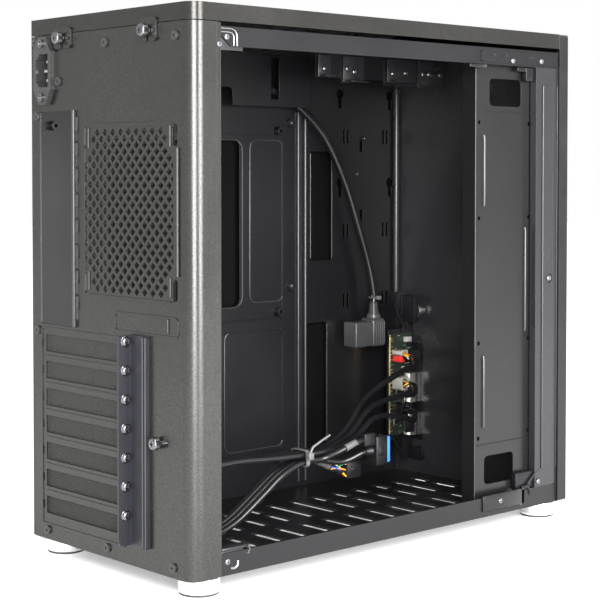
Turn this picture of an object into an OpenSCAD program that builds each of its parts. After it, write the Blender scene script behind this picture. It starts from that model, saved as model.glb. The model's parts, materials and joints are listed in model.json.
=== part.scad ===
// Desktop computer tower, left side open: a bent sheet-metal case with its covers, slot plates,
// fasteners, mains inlet, front port board and the cables that are tied inside it.
// X points to the closed side, Y to the rear, Z up. The origin is on the ground under the middle.

/* [Case] */
// Overall width of the case
width = 194; // [190:1:240]
// Depth from the front face to the rear sheet
depth = 400; // [390:1:490]
// Height of the case body above its feet
body_h = 390; // [385:1:470]
// Height of each foot
foot_h = 12; // [8:1:24]
// Diameter of each foot
foot_d = 29; // [20:1:32]
// Thickness of the outer sheets
skin = 1.5; // [1.2:0.1:1.8]
// Thickness of the inner sheets
steel = 1.2; // [0.8:0.1:1.5]
// Radius of the rounded rear corner
corner_r = 10; // [6:1:12]
// Thickness of the front panel
front_t = 11; // [9:1:14]
// Depth of the top cover's lip
cover_lip = 12; // [10:1:16]

/* [Rear openings] */
// Hole spacing of the rear fan
fan_pitch = 105; // [82.5:0.5:105]
// Width across the corners of one vent hole
vent_hole = 5.8; // [4:0.1:6.4]
// Height of the board's connector opening
io_h = 158.75; // [150:0.25:165]
// Width of the board's connector opening
io_w = 44.45; // [40:0.25:48]
// Spacing of the expansion slots
slot_pitch = 20.32; // [18:0.02:21]
// Height of one expansion slot's window
slot_h = 13; // [8:0.5:14]

/* [Inside] */
// Distance from the closed side to the board tray's face
tray_gap = 7; // [6.5:0.5:10]
// Height of the board's standoffs
standoff_h = 6; // [4:0.5:8]
// Diameter of the threaded standoff holes
standoff_hole = 2.9; // [2.4:0.1:3.5]
// Length of the drive's hole pattern
drive_len = 76.6; // [70:0.1:80]
// Width of the drive's hole pattern
drive_wid = 61.72; // [60:0.01:64]
// Diameter of the mains lead
lead_d = 7; // [5:0.5:8]

/* [Hidden] */
fine = 48;
gap = 0.3;
fit = 0.05;
flange_out = 12;
reach = flange_out;
front_y = -(depth + reach) / 2;
rear_y = front_y + depth;
xr = width / 2;
xl = -xr;
z0 = foot_h;
z1 = foot_h + body_h;
rear_in = rear_y - skin;
rear_top = z1 - cover_lip - 0.5;
rail_in = 2;
rail_x = xl + rail_in;
return_d = 22;
flange_d = 27;
side_t = 1.2;
side_edge = 1.9;
side_in = xr - side_edge - gap;
right_return = 20;
panel_back = front_y + front_t;
wall_in = panel_back + skin;
floor_t = 2;
floor_top = z0 + floor_t;
top_z = rear_top - 2.5;
top_under = top_z - steel;
tray_x = xr - tray_gap;
floor_rail_z = z0 + 15.5;
frame_end = rear_y - flange_d;

// Rear sheet
io_x1 = xr - 11.3;
io_x0 = io_x1 - io_w;
io_z0 = z0 + 162.3;
io_z1 = io_z0 + io_h;
fan_x = xr - 124;
fan_z = z0 + 248.6;
fan_slot_l = 15;
fan_slot_w = 4.3;
pad_t = 1.6;
pad_x0 = fan_x - 56;
pad_x1 = fan_x + 56;
pad_z0 = fan_z - 61;
pad_z1 = fan_z + 62;
vent_half = 57;
vent_px = 9.31;
vent_pz = 4.64;
vent_rows = 12;
slots = 7;
slot_z_first = z0 + 148.3;
slot_x0 = xr - 110;
slot_x1 = xr - 18;
bead_t = 1.4;
bead_w = 2;

// Slot bracket
flange_x = xr - 125.3;
flange_t = 1.5;
screw_rise = 10;
tongue_low = 5;
tongue_high = 13.5;
bracket_z0 = z0 + 15;
bracket_z1 = z0 + 162.5;
hem_x = xr - 147;
lock_x = xr - 158;
lock_z = z0 + 90.5;

// Thumbscrews
thumb_r = 1.7;
thumb_head_r = 4.5;
thumb_head_l = 6.5;
tab_t = 1.5;
tab_x = [xr - 43.5, xr - 148];
tab_z = [z0 + 374, z0 + 373];
tab_w = [22, 19];

// Mains inlet
inlet_x = xr - 19.7;
inlet_z = z1 - 38.7;
inlet_w = 22.5;
inlet_l = 50;
inlet_screw = 20;
cavity_w = 16.4;
cavity_l = 24.4;
inlet_back = rear_y - 26;

// Board tray
hole_y = [rear_y - 13.2, rear_y - 137.66, rear_y - 240.53];
hole_z = [z0 + 29.06, z0 + 156.06, z0 + 311];
boss_r = 3.6;
bend_y = rear_y - 268;
cover_x = tray_x - 14;
wiring_y0 = bend_y + 1;
wiring_z = z0 + 331;

// Drive panel
drive_x = xl + 9;
drive_y0 = front_y + 32;
drive_y1 = drive_y0 + 74;
drive_hole_y0 = drive_y0 + 7.5;
drive_hole_z = [z0 + 62.2, z1 - 151];

// Front board
board_x = xr - 29;
board_t = 1.6;
board_y0 = wall_in + 2;
board_y1 = board_y0 + 28.5;
board_z0 = z0 + 38;
board_z1 = z0 + 130;
button_z = z0 + 150;
button_r = 5;
button_x = board_x - 7;
press = 1.5;
port_z = [z0 + 37, z0 + 67];
port_l = [20, 27];
port_w = 7.2;
jack_z = z0 + 110;
jack_r = 3.2;

// Cables
tie_y = rear_y - 176.5;
strand = 5.6;
strand_x = -16;
upper_z = z0 + 54.6;
lower_z = z0 + 49;
loop_low = floor_top + 3;
strand_d = 5;
header_z = [board_z0 + 24, board_z0 + 48, board_z0 + 72];
header_y = board_y1 - 7;
header_l = 12;
lead_start = [board_x - header_l, header_y, 0];

rear_grey = [0.34, 0.34, 0.32];
inner_black = [0.16, 0.16, 0.17];
bracket_grey = [0.27, 0.27, 0.3];
bright = [0.8, 0.8, 0.8];
plastic = [0.1, 0.1, 0.1];

// ---------- shapes used by several pieces ----------
// A box between two opposite corners
module block(a, b) {
    translate(a)
        cube(b - a);
}

// A cylinder along X, Y or Z between two values
module x_rod(a, b, y, z, r) {
    translate([a, y, z])
        rotate([0, 90, 0])
            cylinder(r = r, h = b - a, $fn = fine);
}

module y_rod(a, b, x, z, r) {
    translate([x, b, z])
        rotate([90, 0, 0])
            cylinder(r = r, h = b - a, $fn = fine);
}

module z_rod(a, b, x, y, r) {
    translate([x, y, a])
        cylinder(r = r, h = b - a, $fn = fine);
}

// A drawing in X and Z that stands between two values of Y
module facing_y(a, b) {
    translate([0, b, 0])
        rotate([90, 0, 0])
            linear_extrude(b - a)
                children();
}

// A drawing in Y and Z that stands between two values of X
module facing_x(a, b) {
    translate([a, 0, 0])
        rotate([90, 0, 90])
            linear_extrude(b - a)
                children();
}

// A drawing in X and Y that stands between two values of Z
module facing_z(a, b) {
    translate([0, 0, a])
        linear_extrude(b - a)
            children();
}

// A flat rectangle with rounded corners, between two opposite corners
module rounded(a, b, r) {
    translate([a[0] + r, a[1]])
        square([b[0] - a[0] - 2 * r, b[1] - a[1]]);
    translate([a[0], a[1] + r])
        square([b[0] - a[0], b[1] - a[1] - 2 * r]);
    for (x = [a[0] + r, b[0] - r], y = [a[1] + r, b[1] - r])
        translate([x, y])
            circle(r = r, $fn = fine);
}

// A flat slot with round ends, standing on its middle
module upright_slot(x, y, w, l) {
    translate([x - w / 2, y - l / 2 + w / 2])
        square([w, l - w]);
    for (s = [-1, 1])
        translate([x, y + s * (l - w) / 2])
            circle(r = w / 2, $fn = fine);
}

module flat_slot(x, y, l, w) {
    translate([x - l / 2 + w / 2, y - w / 2])
        square([l - w, w]);
    for (s = [-1, 1])
        translate([x + s * (l - w) / 2, y])
            circle(r = w / 2, $fn = fine);
}

// A raised frame line with rounded corners
module ridge_frame(a, b, r, w) {
    difference() {
        rounded(a, b, r);
        rounded(a + [w, w], b - [w, w], r - w);
    }
}

// ---------- smooth tubes for the cables ----------
function unit(v) = v / norm(v);
function along(p, i, t) = let(
    n = len(p) - 1,
    a = p[max(i - 1, 0)],
    b = p[i],
    c = p[min(i + 1, n)],
    d = p[min(i + 2, n)])
    0.5 * (2 * b + (c - a) * t + (2 * a - 5 * b + 4 * c - d) * t * t
        + (3 * b - a - 3 * c + d) * t * t * t);
function curve(p, steps) = [
    for (i = [0 : len(p) - 2], s = [0 : steps - 1]) along(p, i, s / steps),
    p[len(p) - 1]];
function heading(c, i, first, last) = i == 0 ? unit(first)
    : i == len(c) - 1 ? unit(last)
    : unit(c[i + 1] - c[i - 1]);
function frames(c, first, last, i, u, out) = i == len(c) ? out
    : let(t = heading(c, i, first, last), v = unit(u - (u * t) * t))
        frames(c, first, last, i + 1, v, concat(out, [[v, cross(t, v)]]));

// A tube through the points of a route, square to its two end directions
module tube(route, steps, d, sides, first, last) {
    c = curve(route, steps);
    f = frames(c, first, last, 0, [0.02, 0.03, 1], []);
    pts = [
        for (i = [0 : len(c) - 1], j = [0 : sides - 1])
            c[i] + d / 2 * (cos(360 * j / sides) * f[i][0] + sin(360 * j / sides) * f[i][1])];
    last_ring = (len(c) - 1) * sides;
    polyhedron(
        points = pts,
        faces = concat(
            [[for (j = [0 : sides - 1]) j]],
            [[for (j = [sides - 1 : -1 : 0]) last_ring + j]],
            [for (i = [0 : len(c) - 2], j = [0 : sides - 1])
                [i * sides + j, (i + 1) * sides + (j + 1) % sides, i * sides + (j + 1) % sides]],
            [for (i = [0 : len(c) - 2], j = [0 : sides - 1])
                [i * sides + j, (i + 1) * sides + j, (i + 1) * sides + (j + 1) % sides]]));
}

// ---------- rear sheet ----------
// The bent sheet seen from above: face, rounded corner, the two returns and the inner flange
module rear_section() {
    translate([xl + corner_r, rear_in])
        square([side_in - xl - corner_r, skin]);
    translate([xl, rear_y - return_d])
        square([skin, return_d - corner_r]);
    translate([xl + corner_r, rear_y - corner_r])
        intersection() {
            difference() {
                circle(r = corner_r, $fn = fine);
                circle(r = corner_r - skin, $fn = fine);
            }
            translate([-corner_r, 0])
                square(corner_r);
        }
    translate([xl, rear_y - return_d])
        square([rail_in + steel, skin]);
    translate([rail_x, frame_end])
        square([steel, flange_d - return_d]);
    translate([side_in - skin, rear_y - right_return])
        square([skin, right_return]);
}

// The diamond vent holes, in rows that are set half a pitch apart
module vent_holes() {
    for (i = [-vent_rows : vent_rows], k = [-6 : 6]) {
        odd = abs(i) % 2;
        a = (k + odd / 2) * vent_px;
        b = i * vent_pz;
        if (abs(a) <= 52 && (abs(a) < 44 || abs(a) + abs(b) < 87))
            translate([fan_x + a, fan_z + b])
                circle(r = vent_hole / 2, $fn = 4);
    }
}

module fan_slots() {
    for (sx = [-1, 1], sz = [-1, 1])
        upright_slot(fan_x + sx * fan_pitch / 2, fan_z + sz * fan_pitch / 2, fan_slot_w, fan_slot_l);
}

module vent_window() {
    translate([fan_x - vent_half + 5, fan_z - vent_half - 3])
        square([2 * vent_half - 10, 2 * vent_half + 6]);
}

// The raised pad round the fan, stepped in at its corners
module fan_pad() {
    difference() {
        rounded([pad_x0, pad_z0], [pad_x1, pad_z1], 4);
        for (x = [pad_x0, pad_x1], z = [pad_z0, pad_z1])
            translate([x - 8, z - 18])
                square([16, 36]);
        vent_window();
    }
}

rear_screw_at = [
    [xr - 95.7, z0 + 368], [xr - 177, z0 + 368], [xr - 36.7, z0 + 342.9],
    [xr - 6, z0 + 372.8], [xr - 7.6, z0 + 317.8], [xr - 7.6, z0 + 157],
    [xr - 19.9, z0 + 7.2], [xr - 96.5, z0 + 7.2], [xr - 173.5, z0 + 7.2]];

module rear_cuts() {
    // connector opening
    rounded([io_x0, io_z0], [io_x1, io_z1], 1);
    // row of small windows beside it
    for (k = [0 : 7])
        translate([io_x0 - 5.6, io_z0 + 6 + k * 18.6])
            square([3.2, 8]);
    // expansion slots and the small slits beside them
    for (k = [0 : slots - 1]) {
        translate([slot_x0, slot_z_first - k * slot_pitch - slot_h / 2])
            square([slot_x1 - slot_x0, slot_h]);
        translate([slot_x1 + 2.5, slot_z_first - k * slot_pitch - 3])
            square([2, 6]);
    }
    // slots that the plates' screw tongues come out through
    for (k = [0 : slots - 1])
        translate([flange_x - gap, slot_z_first - k * slot_pitch - tongue_low - gap])
            square([2.4, tongue_low + tongue_high + 2 * gap]);
    // mains inlet
    translate([inlet_x - 10.2, inlet_z - 13.8])
        square([20.4, 27.6]);
    for (s = [-1, 1])
        translate([inlet_x, inlet_z + s * inlet_screw])
            circle(r = 1.65 + fit, $fn = fine);
    // fasteners
    for (p = rear_screw_at)
        translate(p)
            circle(r = 1.6 + fit, $fn = fine);
    for (i = [0, 1])
        translate([tab_x[i], tab_z[i]])
            circle(r = thumb_r + fit, $fn = fine);
    flat_slot(lock_x - 4, lock_z, 2 * thumb_r + 8.4, 2 * (thumb_r + fit));
    fan_slots();
}

module rear_panel() {
    color(rear_grey)
        difference() {
            union() {
                difference() {
                    facing_z(z0, rear_top)
                        rear_section();
                    facing_y(rear_in - 1, rear_y + 1)
                        vent_window();
                }
                facing_y(rear_in, rear_y + pad_t - skin + 0.6)
                    difference() {
                        vent_window();
                        vent_holes();
                    }
                facing_y(rear_y, rear_y + pad_t)
                    fan_pad();
                // upright bead beside the connector opening
                facing_y(rear_y, rear_y + bead_t)
                    rounded([io_x0 - bead_w - 0.4, io_z0], [io_x0 - 0.4, io_z1], 0.9);
                // stamped lines round the slots and under the vent
                facing_y(rear_y, rear_y + 0.6) {
                    difference() {
                        rounded([flange_x + 6, bracket_z0 - 4], [xr - 12, io_z0 - 2], 3);
                        rounded([flange_x + 7.6, bracket_z0 - 2.4], [xr - 13.6, io_z0 - 3.6], 1.4);
                    }
                    for (k = [0 : slots - 2])
                        translate([slot_x0, slot_z_first - (k + 0.5) * slot_pitch - 1])
                            square([slot_x1 - slot_x0, 2]);
                    difference() {
                        rounded([pad_x0, bracket_z1 + 1], [fan_x + 18, z0 + 178], 4);
                        rounded([pad_x0 + 1.5, bracket_z1 + 2.5], [fan_x + 16.5, z0 + 176.5], 2.5);
                    }
                }
            }
            facing_y(rear_in - 1, rear_y + 3)
                rear_cuts();
        }
}

// ---------- outer panels ----------
module cover_outline(inset) {
    r = corner_r - inset;
    y0 = panel_back + gap + (inset > 0 ? inset : 0);
    translate([xl + inset, y0])
        square([width - 2 * inset, rear_y - corner_r - y0]);
    translate([xl + corner_r, y0])
        square([width - corner_r - inset, rear_y - inset - y0]);
    translate([xl + corner_r, rear_y - corner_r])
        circle(r = r, $fn = fine);
}

module top_cover() {
    color(rear_grey)
        difference() {
            facing_z(z1 - cover_lip, z1)
                cover_outline(0);
            facing_z(z1 - cover_lip - 1, z1 - skin)
                cover_outline(skin);
        }
}

// A tab under the cover's rear edge, with a notch that slides over its thumbscrew
module cover_tab(i) {
    a = tab_x[i] - tab_w[i] / 2;
    b = tab_x[i] + tab_w[i] / 2;
    top = z1 - cover_lip + 4;
    color(rear_grey) {
        facing_y(rear_y + gap, rear_y + gap + tab_t)
            difference() {
                rounded([a, tab_z[i] - 7.5], [b, top], 3);
                translate([tab_x[i] - thumb_r - gap, z0])
                    square([2 * (thumb_r + gap), tab_z[i] + thumb_r + gap - z0]);
            }
        block([a + 3, rear_y, top - 3], [b - 3, rear_y + gap, top]);
    }
}

module right_side_panel() {
    color(rear_grey) {
        block([xr - side_t, panel_back + gap, z0 + gap], [xr, rear_y, rear_top]);
        // folded edges
        for (z = [z0 + gap, rear_top - skin])
            block([xr - side_edge, panel_back + gap, z], [xr - side_t, rear_y, z + skin]);
        block([xr - side_edge, rear_y - skin, z0 + gap + skin],
            [xr - side_t, rear_y, rear_top - skin]);
        block([xr - side_edge, panel_back + gap, z0 + gap + skin],
            [xr - side_t, panel_back + gap + skin, rear_top - skin]);
    }
}

module front_panel() {
    rim = 3;
    color(plastic)
        difference() {
            facing_y(front_y, panel_back)
                rounded([xl, z0], [xr, z1], 2);
            // hollow behind the face
            facing_y(front_y + rim, panel_back + 1)
                difference() {
                    translate([xl + rim, z0 + rim])
                        square([width - 2 * rim, body_h - 2 * rim]);
                    translate([board_x - 24, z0 + 20])
                        square([24 + 16, 152]);
                }
            // ports and button
            facing_y(front_y - 1, panel_back + 1)
                port_holes(gap);
            y_rod(front_y - 1, panel_back + 1, button_x, button_z, button_r + gap);
        }
}

module port_holes(c) {
    for (i = [0, 1])
        translate([board_x - port_w - c, port_z[i] - c])
            square([port_w + 2 * c, port_l[i] + 2 * c]);
    translate([board_x - 5, jack_z])
        circle(r = jack_r + c, $fn = fine);
}

// The rear end of the floor and the top, which fits inside the bent sheet
module rear_end() {
    translate([rail_x + steel + gap, frame_end])
        square([side_in - skin - gap - rail_x - steel - gap, rear_y - corner_r - frame_end]);
    translate([xl + corner_r, frame_end])
        square([side_in - skin - gap - xl - corner_r, rear_in - frame_end]);
}

module floor_panel() {
    slot_w = 9;
    row_pitch = 24.4;
    columns = [[-50, -18], [-5, 22], [29, 48]];
    color(inner_black) {
        difference() {
            union() {
                block([rail_x, wall_in, z0], [side_in, frame_end, floor_top]);
                facing_z(z0, floor_top)
                    rear_end();
                block([rail_x, wall_in, floor_top], [rail_x + steel, frame_end, floor_rail_z]);
                block([-70, rear_in - steel, floor_top], [slot_x1, rear_in, floor_top + 8]);
            }
            // vent slots in three columns, some of them joined to one long slot
            facing_z(z0 - 1, floor_top + 1)
                for (k = [0 : 12], c = [0 : 2]) {
                    long = c == 1 && (k == 5 || k == 6 || k == 11);
                    translate([columns[c][0], rear_y - 77.6 - k * row_pitch])
                        square([(long ? columns[2][1] : columns[c][1]) - columns[c][0], slot_w]);
                }
            // recess in the edge near the front
            facing_x(rail_x - 1, rail_x + steel + 1)
                rounded([front_y + 51.7, z0 + 4], [front_y + 101, z0 + 20], 2);
            for (x = [-76.5, 0.5, xr - 19.9], y = [rear_in - steel - 1])
                y_rod(y, rear_in + 1, x, z0 + 7.2, 1.6 + fit);
            // feet fasteners
            for (i = [0 : 3])
                z_rod(z0 - 1, floor_top + 1, foot_x(i), foot_y(i), 2);
        }
    }
}

module top_panel() {
    color(inner_black)
        difference() {
            union() {
                block([rail_x, wall_in, top_under], [side_in, frame_end, top_z]);
                facing_z(top_under, top_z)
                    rear_end();
                // side rail with a slanted rear end
                facing_x(rail_x, rail_x + steel)
                    polygon([[wall_in, rail_low()], [frame_end - 9, rail_low()],
                        [frame_end, rail_low() + 7], [frame_end, top_under], [wall_in, top_under]]);
                // raised plate near the front
                facing_x(rail_x - 1, rail_x)
                    rounded([front_y + 12.5, rail_low() + 2], [front_y + 107, top_under - 1], 2);
                block([-60, rear_in - steel, top_under - 10], [50, rear_in, top_under]);
            }
            for (x = [rear_screw_at[0][0], rear_screw_at[1][0]])
                y_rod(rear_in - 3, rear_in + 1, x, z0 + 368, 1.6 + fit);
            for (i = [0, 1])
                y_rod(rear_in - 6, rear_in + 1, tab_x[i], tab_z[i], thumb_r + gap);
            // vent slots over the drives
            for (c = [0 : 2], k = [0 : 9])
                facing_z(top_under - 1, top_z + 1)
                    flat_slot(-52 + c * 50, wall_in + 150 + k * 18, 40, 7);
        }
}

function foot_x(i) = (i % 2 == 0 ? -1 : 1) * (xr - 16);
function foot_y(i) = i < 2 ? rear_y - 18.5 : front_y + 18.5;

module foot(i) {
    color(bright)
        difference() {
            z_rod(1.5, z0, foot_x(i), foot_y(i), foot_d / 2);
            z_rod(1, z0 - 3, foot_x(i), foot_y(i), 6);
            z_rod(z0 - 4, z0 + 1, foot_x(i), foot_y(i), 2);
        }
}

module foot_pad(i) {
    color(plastic)
        difference() {
            z_rod(0, 1.5, foot_x(i), foot_y(i), foot_d / 2 - 0.6);
            z_rod(-1, 2, foot_x(i), foot_y(i), 6);
        }
}

// ---------- board tray ----------
module key_hole(y, z) {
    translate([y, z])
        circle(r = 4.5, $fn = fine);
    upright_slot(y, z - 7, 4.4, 12);
}

module tray_cuts() {
    // opening behind the processor
    rounded([rear_y - 199, z0 + 163], [rear_y - 65.5, z0 + 303], 7);
    // two tall cable openings
    rounded([front_y + 95, z0 + 198], [front_y + 121, z0 + 294], 2);
    rounded([front_y + 101, z0 + 26.5], [front_y + 128, z0 + 143.5], 2);
    // key-shaped holes and pairs of slots near the front
    for (y = [front_y + 21.5, front_y + 84.4], z = [z0 + 266, z0 + 345])
        key_hole(y, z);
    for (y = [front_y + 27.4, front_y + 77], z = [z0 + 161, z0 + 223.3, z0 + 307.5], s = [-2.4, 2.4])
        upright_slot(y + s, z, 2.4, 13);
    for (y = [front_y + 56], z = [z0 + 232, z0 + 294])
        translate([y, z])
            square([4, 10]);
}

module motherboard_tray() {
    color(inner_black)
        difference() {
            union() {
                facing_x(tray_x, tray_x + steel)
                    difference() {
                        translate([wall_in, floor_top])
                            square([rear_in - wall_in, top_under - floor_top]);
                        tray_cuts();
                    }
                for (y = hole_y, z = hole_z)
                    x_rod(tray_x - standoff_h, tray_x, y, z, boss_r);
                // upright ridges and stamped frames
                facing_x(tray_x - 1, tray_x) {
                    for (y = [bend_y - 1.2, bend_y + 5])
                        rounded([y - 1, z0 + 6], [y + 1, wiring_z - 3], 0.9);
                    ridge_frame([rear_y - 247.5, z0 + 150], [rear_y - 50, z0 + 308], 8, 1.2);
                    ridge_frame([rear_y - 247.5, z0 + 36], [rear_y - 50, z0 + 142], 8, 1.2);
                }
                for (z = [z0 + 177.2, z0 + 318.3])
                    x_rod(tray_x - 2.5, tray_x, rear_y - 256, z, 4);
                // round bead in the front corner
                z_rod(z0 + 165, z0 + 352, tray_x - 1, wall_in + 2.3, 2);
                // folded edge that the rear sheet is screwed to
                for (z = [z0 + 157, z0 + 317.8])
                    block([tray_x - 4, rear_in - steel, z - 8], [tray_x, rear_in, z + 8]);
            }
            for (y = hole_y, z = hole_z)
                x_rod(tray_x - standoff_h - 1, tray_x + steel + 1, y, z, standoff_hole / 2);
            for (z = [z0 + 157, z0 + 317.8])
                y_rod(rear_in - 3, rear_in + 1, xr - 7.6, z, 1.6 + fit + 0.3);
        }
}

module wiring_cover() {
    y1 = inlet_back - 6;
    color(inner_black)
        difference() {
            union() {
                facing_x(cover_x, cover_x + steel)
                    difference() {
                        rounded([wiring_y0, wiring_z], [y1, top_under - 0.2], 2);
                        translate([wiring_y0 + 36, wiring_z + 6])
                            square([9, 36]);
                        rounded([rear_y - 180, wiring_z - 10], [rear_y - 150, wiring_z + 15], 4);
                    }
                block([cover_x, wiring_y0 + 4, top_under - steel], [tray_x, y1 - 4, top_under]);
                block([cover_x, y1 - 120, wiring_z], [tray_x, y1 - 4, wiring_z + steel]);
            }
            // the lower edge's fold stops short of the standoffs
            block([cover_x + 4, hole_y[0] - 5, wiring_z - 1], [tray_x + 1, hole_y[0] + 5, wiring_z + 3]);
        }
}

// ---------- front structure ----------
module front_frame() {
    column = 26.2;
    color(inner_black)
        difference() {
            union() {
                block([rail_x, panel_back, z0], [side_in, wall_in, top_z]);
                // open-side column with its fold, and an upright bead
                block([rail_x, wall_in, floor_rail_z],
                    [rail_x + steel, wall_in + column, rail_low()]);
                block([rail_x + steel, wall_in + column - steel, floor_rail_z],
                    [drive_x - 0.8, wall_in + column, rail_low()]);
                facing_x(rail_x - 1, rail_x)
                    rounded([wall_in + 5.5, floor_rail_z + 14], [wall_in + 18, rail_low() - 14], 2);
            }
            // hole for the ports and the button
            facing_y(panel_back - 1, wall_in + 1) {
                rounded([board_x - 12, z0 + 32], [board_x + 6, jack_z + 10], 2);
                translate([button_x, button_z])
                    circle(r = button_r + gap, $fn = fine);
            }
            // fastener's seat and hole in the column
            x_rod(rail_x - 3, rail_x, front_y + 22.6, z0 + 188, 4);
            x_rod(rail_x - 3, rail_x + 3, front_y + 22.6, z0 + 188, 1.6 + fit);
        }
}

function rail_low() = z0 + 361.5 - 390 + body_h;

module drive_panel() {
    side = 12;
    z_top = z1 - 39;
    color(rear_grey)
        difference() {
            union() {
                facing_x(drive_x, drive_x + steel)
                    difference() {
                        translate([drive_y0, floor_top])
                            square([drive_y1 - drive_y0, top_under - floor_top]);
                        rounded([drive_y1 - 56, z_top - 22], [drive_y1 - 17, z_top], 4);
                        rounded([drive_y1 - 48, z0 + 24], [drive_y1 - 12, z0 + 47], 4);
                    }
                for (y = [drive_y0, drive_y1 - steel])
                    block([drive_x + steel, y, floor_top],
                        [drive_x + steel + side, y + steel, top_under]);
                facing_x(drive_x - 0.8, drive_x) {
                    for (z = [z0 + 55.6, z_top - 28])
                        translate([drive_y0 + 4, z])
                            square([drive_y1 - drive_y0 - 8, 1.2]);
                    for (z = [[z0 + 248, z0 + 306], [z0 + 70, z0 + 129]])
                        rounded([drive_y1 - 10.5, z[0]], [drive_y1 - 9.1, z[1]], 0.6);
                    rounded([drive_y1 - 62, z0 + 144.5], [drive_y1 - 60.6, z0 + 231], 0.6);
                }
            }
            for (z = drive_hole_z, a = [0, drive_wid], b = [0, drive_len])
                x_rod(drive_x - 2, drive_x + steel + 1, drive_hole_y0 + a, z + b, 1.75);
        }
}

// ---------- expansion slots ----------
module slot_cover(k) {
    z = slot_z_first - (k - 1) * slot_pitch;
    y = rear_in - 1;
    color(rear_grey) {
        difference() {
            block([flange_x + 0.3, y - 0.2, z - 9], [slot_x1 + 2, rear_in, z + 9]);
            facing_y(y - 2, rear_in + 1)
                for (i = [-1 : 1], j = [0 : 22])
                    translate([slot_x0 + 3 + j * 4 + (i == 0 ? 2 : 0), z + i * 3.6])
                        circle(r = 1.6, $fn = 4);
        }
        // tongue that folds outwards along the bracket's flange
        difference() {
            block([flange_x, y, z - tongue_low],
                [flange_x + 1.2, rear_y + flange_out - 1, z + tongue_high]);
            x_rod(flange_x - 1, flange_x + 2, rear_y + 6, z + screw_rise, 1.6 + fit);
        }
    }
}

module slot_bracket() {
    color(bracket_grey)
        difference() {
            union() {
                facing_x(flange_x - flange_t, flange_x)
                    union() {
                        translate([rear_y, bracket_z0])
                            square([flange_out - 4, bracket_z1 - bracket_z0]);
                        rounded([rear_y + 1, bracket_z0], [rear_y + flange_out, bracket_z1], 4);
                    }
                facing_y(rear_y, rear_y + 1.2)
                    rounded([hem_x, bracket_z0], [flange_x, bracket_z1], 1);
                // double edge
                facing_y(rear_y + 1.2, rear_y + 3.4)
                    rounded([hem_x, bracket_z0], [hem_x + 2, bracket_z1], 0.9);
                facing_y(rear_y + 1.2, rear_y + 3.4)
                    rounded([hem_x + 3.2, bracket_z0], [hem_x + 5.2, bracket_z1], 0.9);
            }
            for (k = [0 : slots - 1])
                x_rod(flange_x - flange_t - 1, flange_x + 1, rear_y + 6,
                    slot_z_first - k * slot_pitch + screw_rise, 1.6 + fit);
        }
}

module slot_screws() {
    color(bright)
        for (k = [0 : slots - 1]) {
            z = slot_z_first - k * slot_pitch + screw_rise;
            difference() {
                union() {
                    x_rod(flange_x - flange_t - 2.2, flange_x - flange_t, rear_y + 6, z, 3.6);
                    x_rod(flange_x - flange_t, flange_x + 4, rear_y + 6, z, 1.6);
                }
                cross_slot_x(flange_x - flange_t - 2.3, rear_y + 6, z);
            }
        }
}

module cross_slot_x(x, y, z) {
    for (a = [[0.4, 1.8], [1.8, 0.4]])
        block([x, y - a[0], z - a[1]], [x + 1.2, y + a[0], z + a[1]]);
}

module cross_slot_y(x, y, z) {
    for (a = [[0.4, 1.8], [1.8, 0.4]])
        block([x - a[0], y - 1.2, z - a[1]], [x + a[0], y, z + a[1]]);
}

// A thumbscrew along Y with a grooved head
module thumb_screw(x, z, y) {
    color(bright)
        difference() {
            union() {
                y_rod(rear_in - 5, y, x, z, thumb_r);
                y_rod(y, y + 1.4, x, z, thumb_head_r - 0.6);
                y_rod(y + 1.4, y + 1.4 + thumb_head_l, x, z, thumb_head_r);
            }
            cross_slot_y(x, y + 1.4 + thumb_head_l + 0.1, z);
            for (a = [0 : 30 : 330])
                y_rod(y + 1.2, y + 2 + thumb_head_l, x + (thumb_head_r + 0.3) * cos(a),
                    z + (thumb_head_r + 0.3) * sin(a), 0.8);
        }
}

thumb_y = rear_y + gap + tab_t + gap;

module flush_screw(x, z, y, l) {
    difference() {
        union() {
            y_rod(y, y + 1.6, x, z, 3.2);
            y_rod(y - l, y, x, z, 1.6);
        }
        cross_slot_y(x, y + 1.7, z);
    }
}

module rear_screws() {
    color(rear_grey)
        for (p = rear_screw_at)
            flush_screw(p[0], p[1], rear_y, skin);
}

// ---------- mains inlet ----------
// The flange: a tall plate with slanted ends
module inlet_flange() {
    w = inlet_w / 2;
    h = inlet_l / 2;
    polygon([[inlet_x - w, inlet_z - 14], [inlet_x - 5, inlet_z - h], [inlet_x + 5, inlet_z - h],
        [inlet_x + w, inlet_z - 14], [inlet_x + w, inlet_z + 14], [inlet_x + 5, inlet_z + h],
        [inlet_x - 5, inlet_z + h], [inlet_x - w, inlet_z + 14]]);
}

// The socket's hollow, with two slanted corners
module inlet_cavity() {
    w = cavity_w / 2;
    h = cavity_l / 2;
    c = 5;
    polygon([[inlet_x - w, inlet_z - h], [inlet_x + w - c, inlet_z - h], [inlet_x + w, inlet_z - h + c],
        [inlet_x + w, inlet_z + h - c], [inlet_x + w - c, inlet_z + h], [inlet_x - w, inlet_z + h]]);
}

module ac_inlet() {
    color(plastic)
        difference() {
            union() {
                facing_y(rear_y, rear_y + 4)
                    inlet_flange();
                block([inlet_x - 10, inlet_back, inlet_z - 13.6],
                    [inlet_x + 10, rear_y, inlet_z + 13.6]);
            }
            facing_y(rear_y - 16, rear_y + 5)
                inlet_cavity();
            for (s = [-1, 1])
                y_rod(rear_y - 1, rear_y + 5, inlet_x, inlet_z + s * inlet_screw, 1.65 + fit);
            ac_pin_shapes(0);
        }
}

module ac_pin_shapes(c) {
    for (k = [-1 : 1])
        block([inlet_x - 2 - c + (k == 0 ? 2 : -1), rear_y - 20 - c, inlet_z + 7 * k - 1 - c],
            [inlet_x + 2 + c + (k == 0 ? 2 : -1), rear_y - 1, inlet_z + 7 * k + 1 + c]);
}

module ac_pins() {
    color(bright)
        ac_pin_shapes(0);
}

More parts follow.
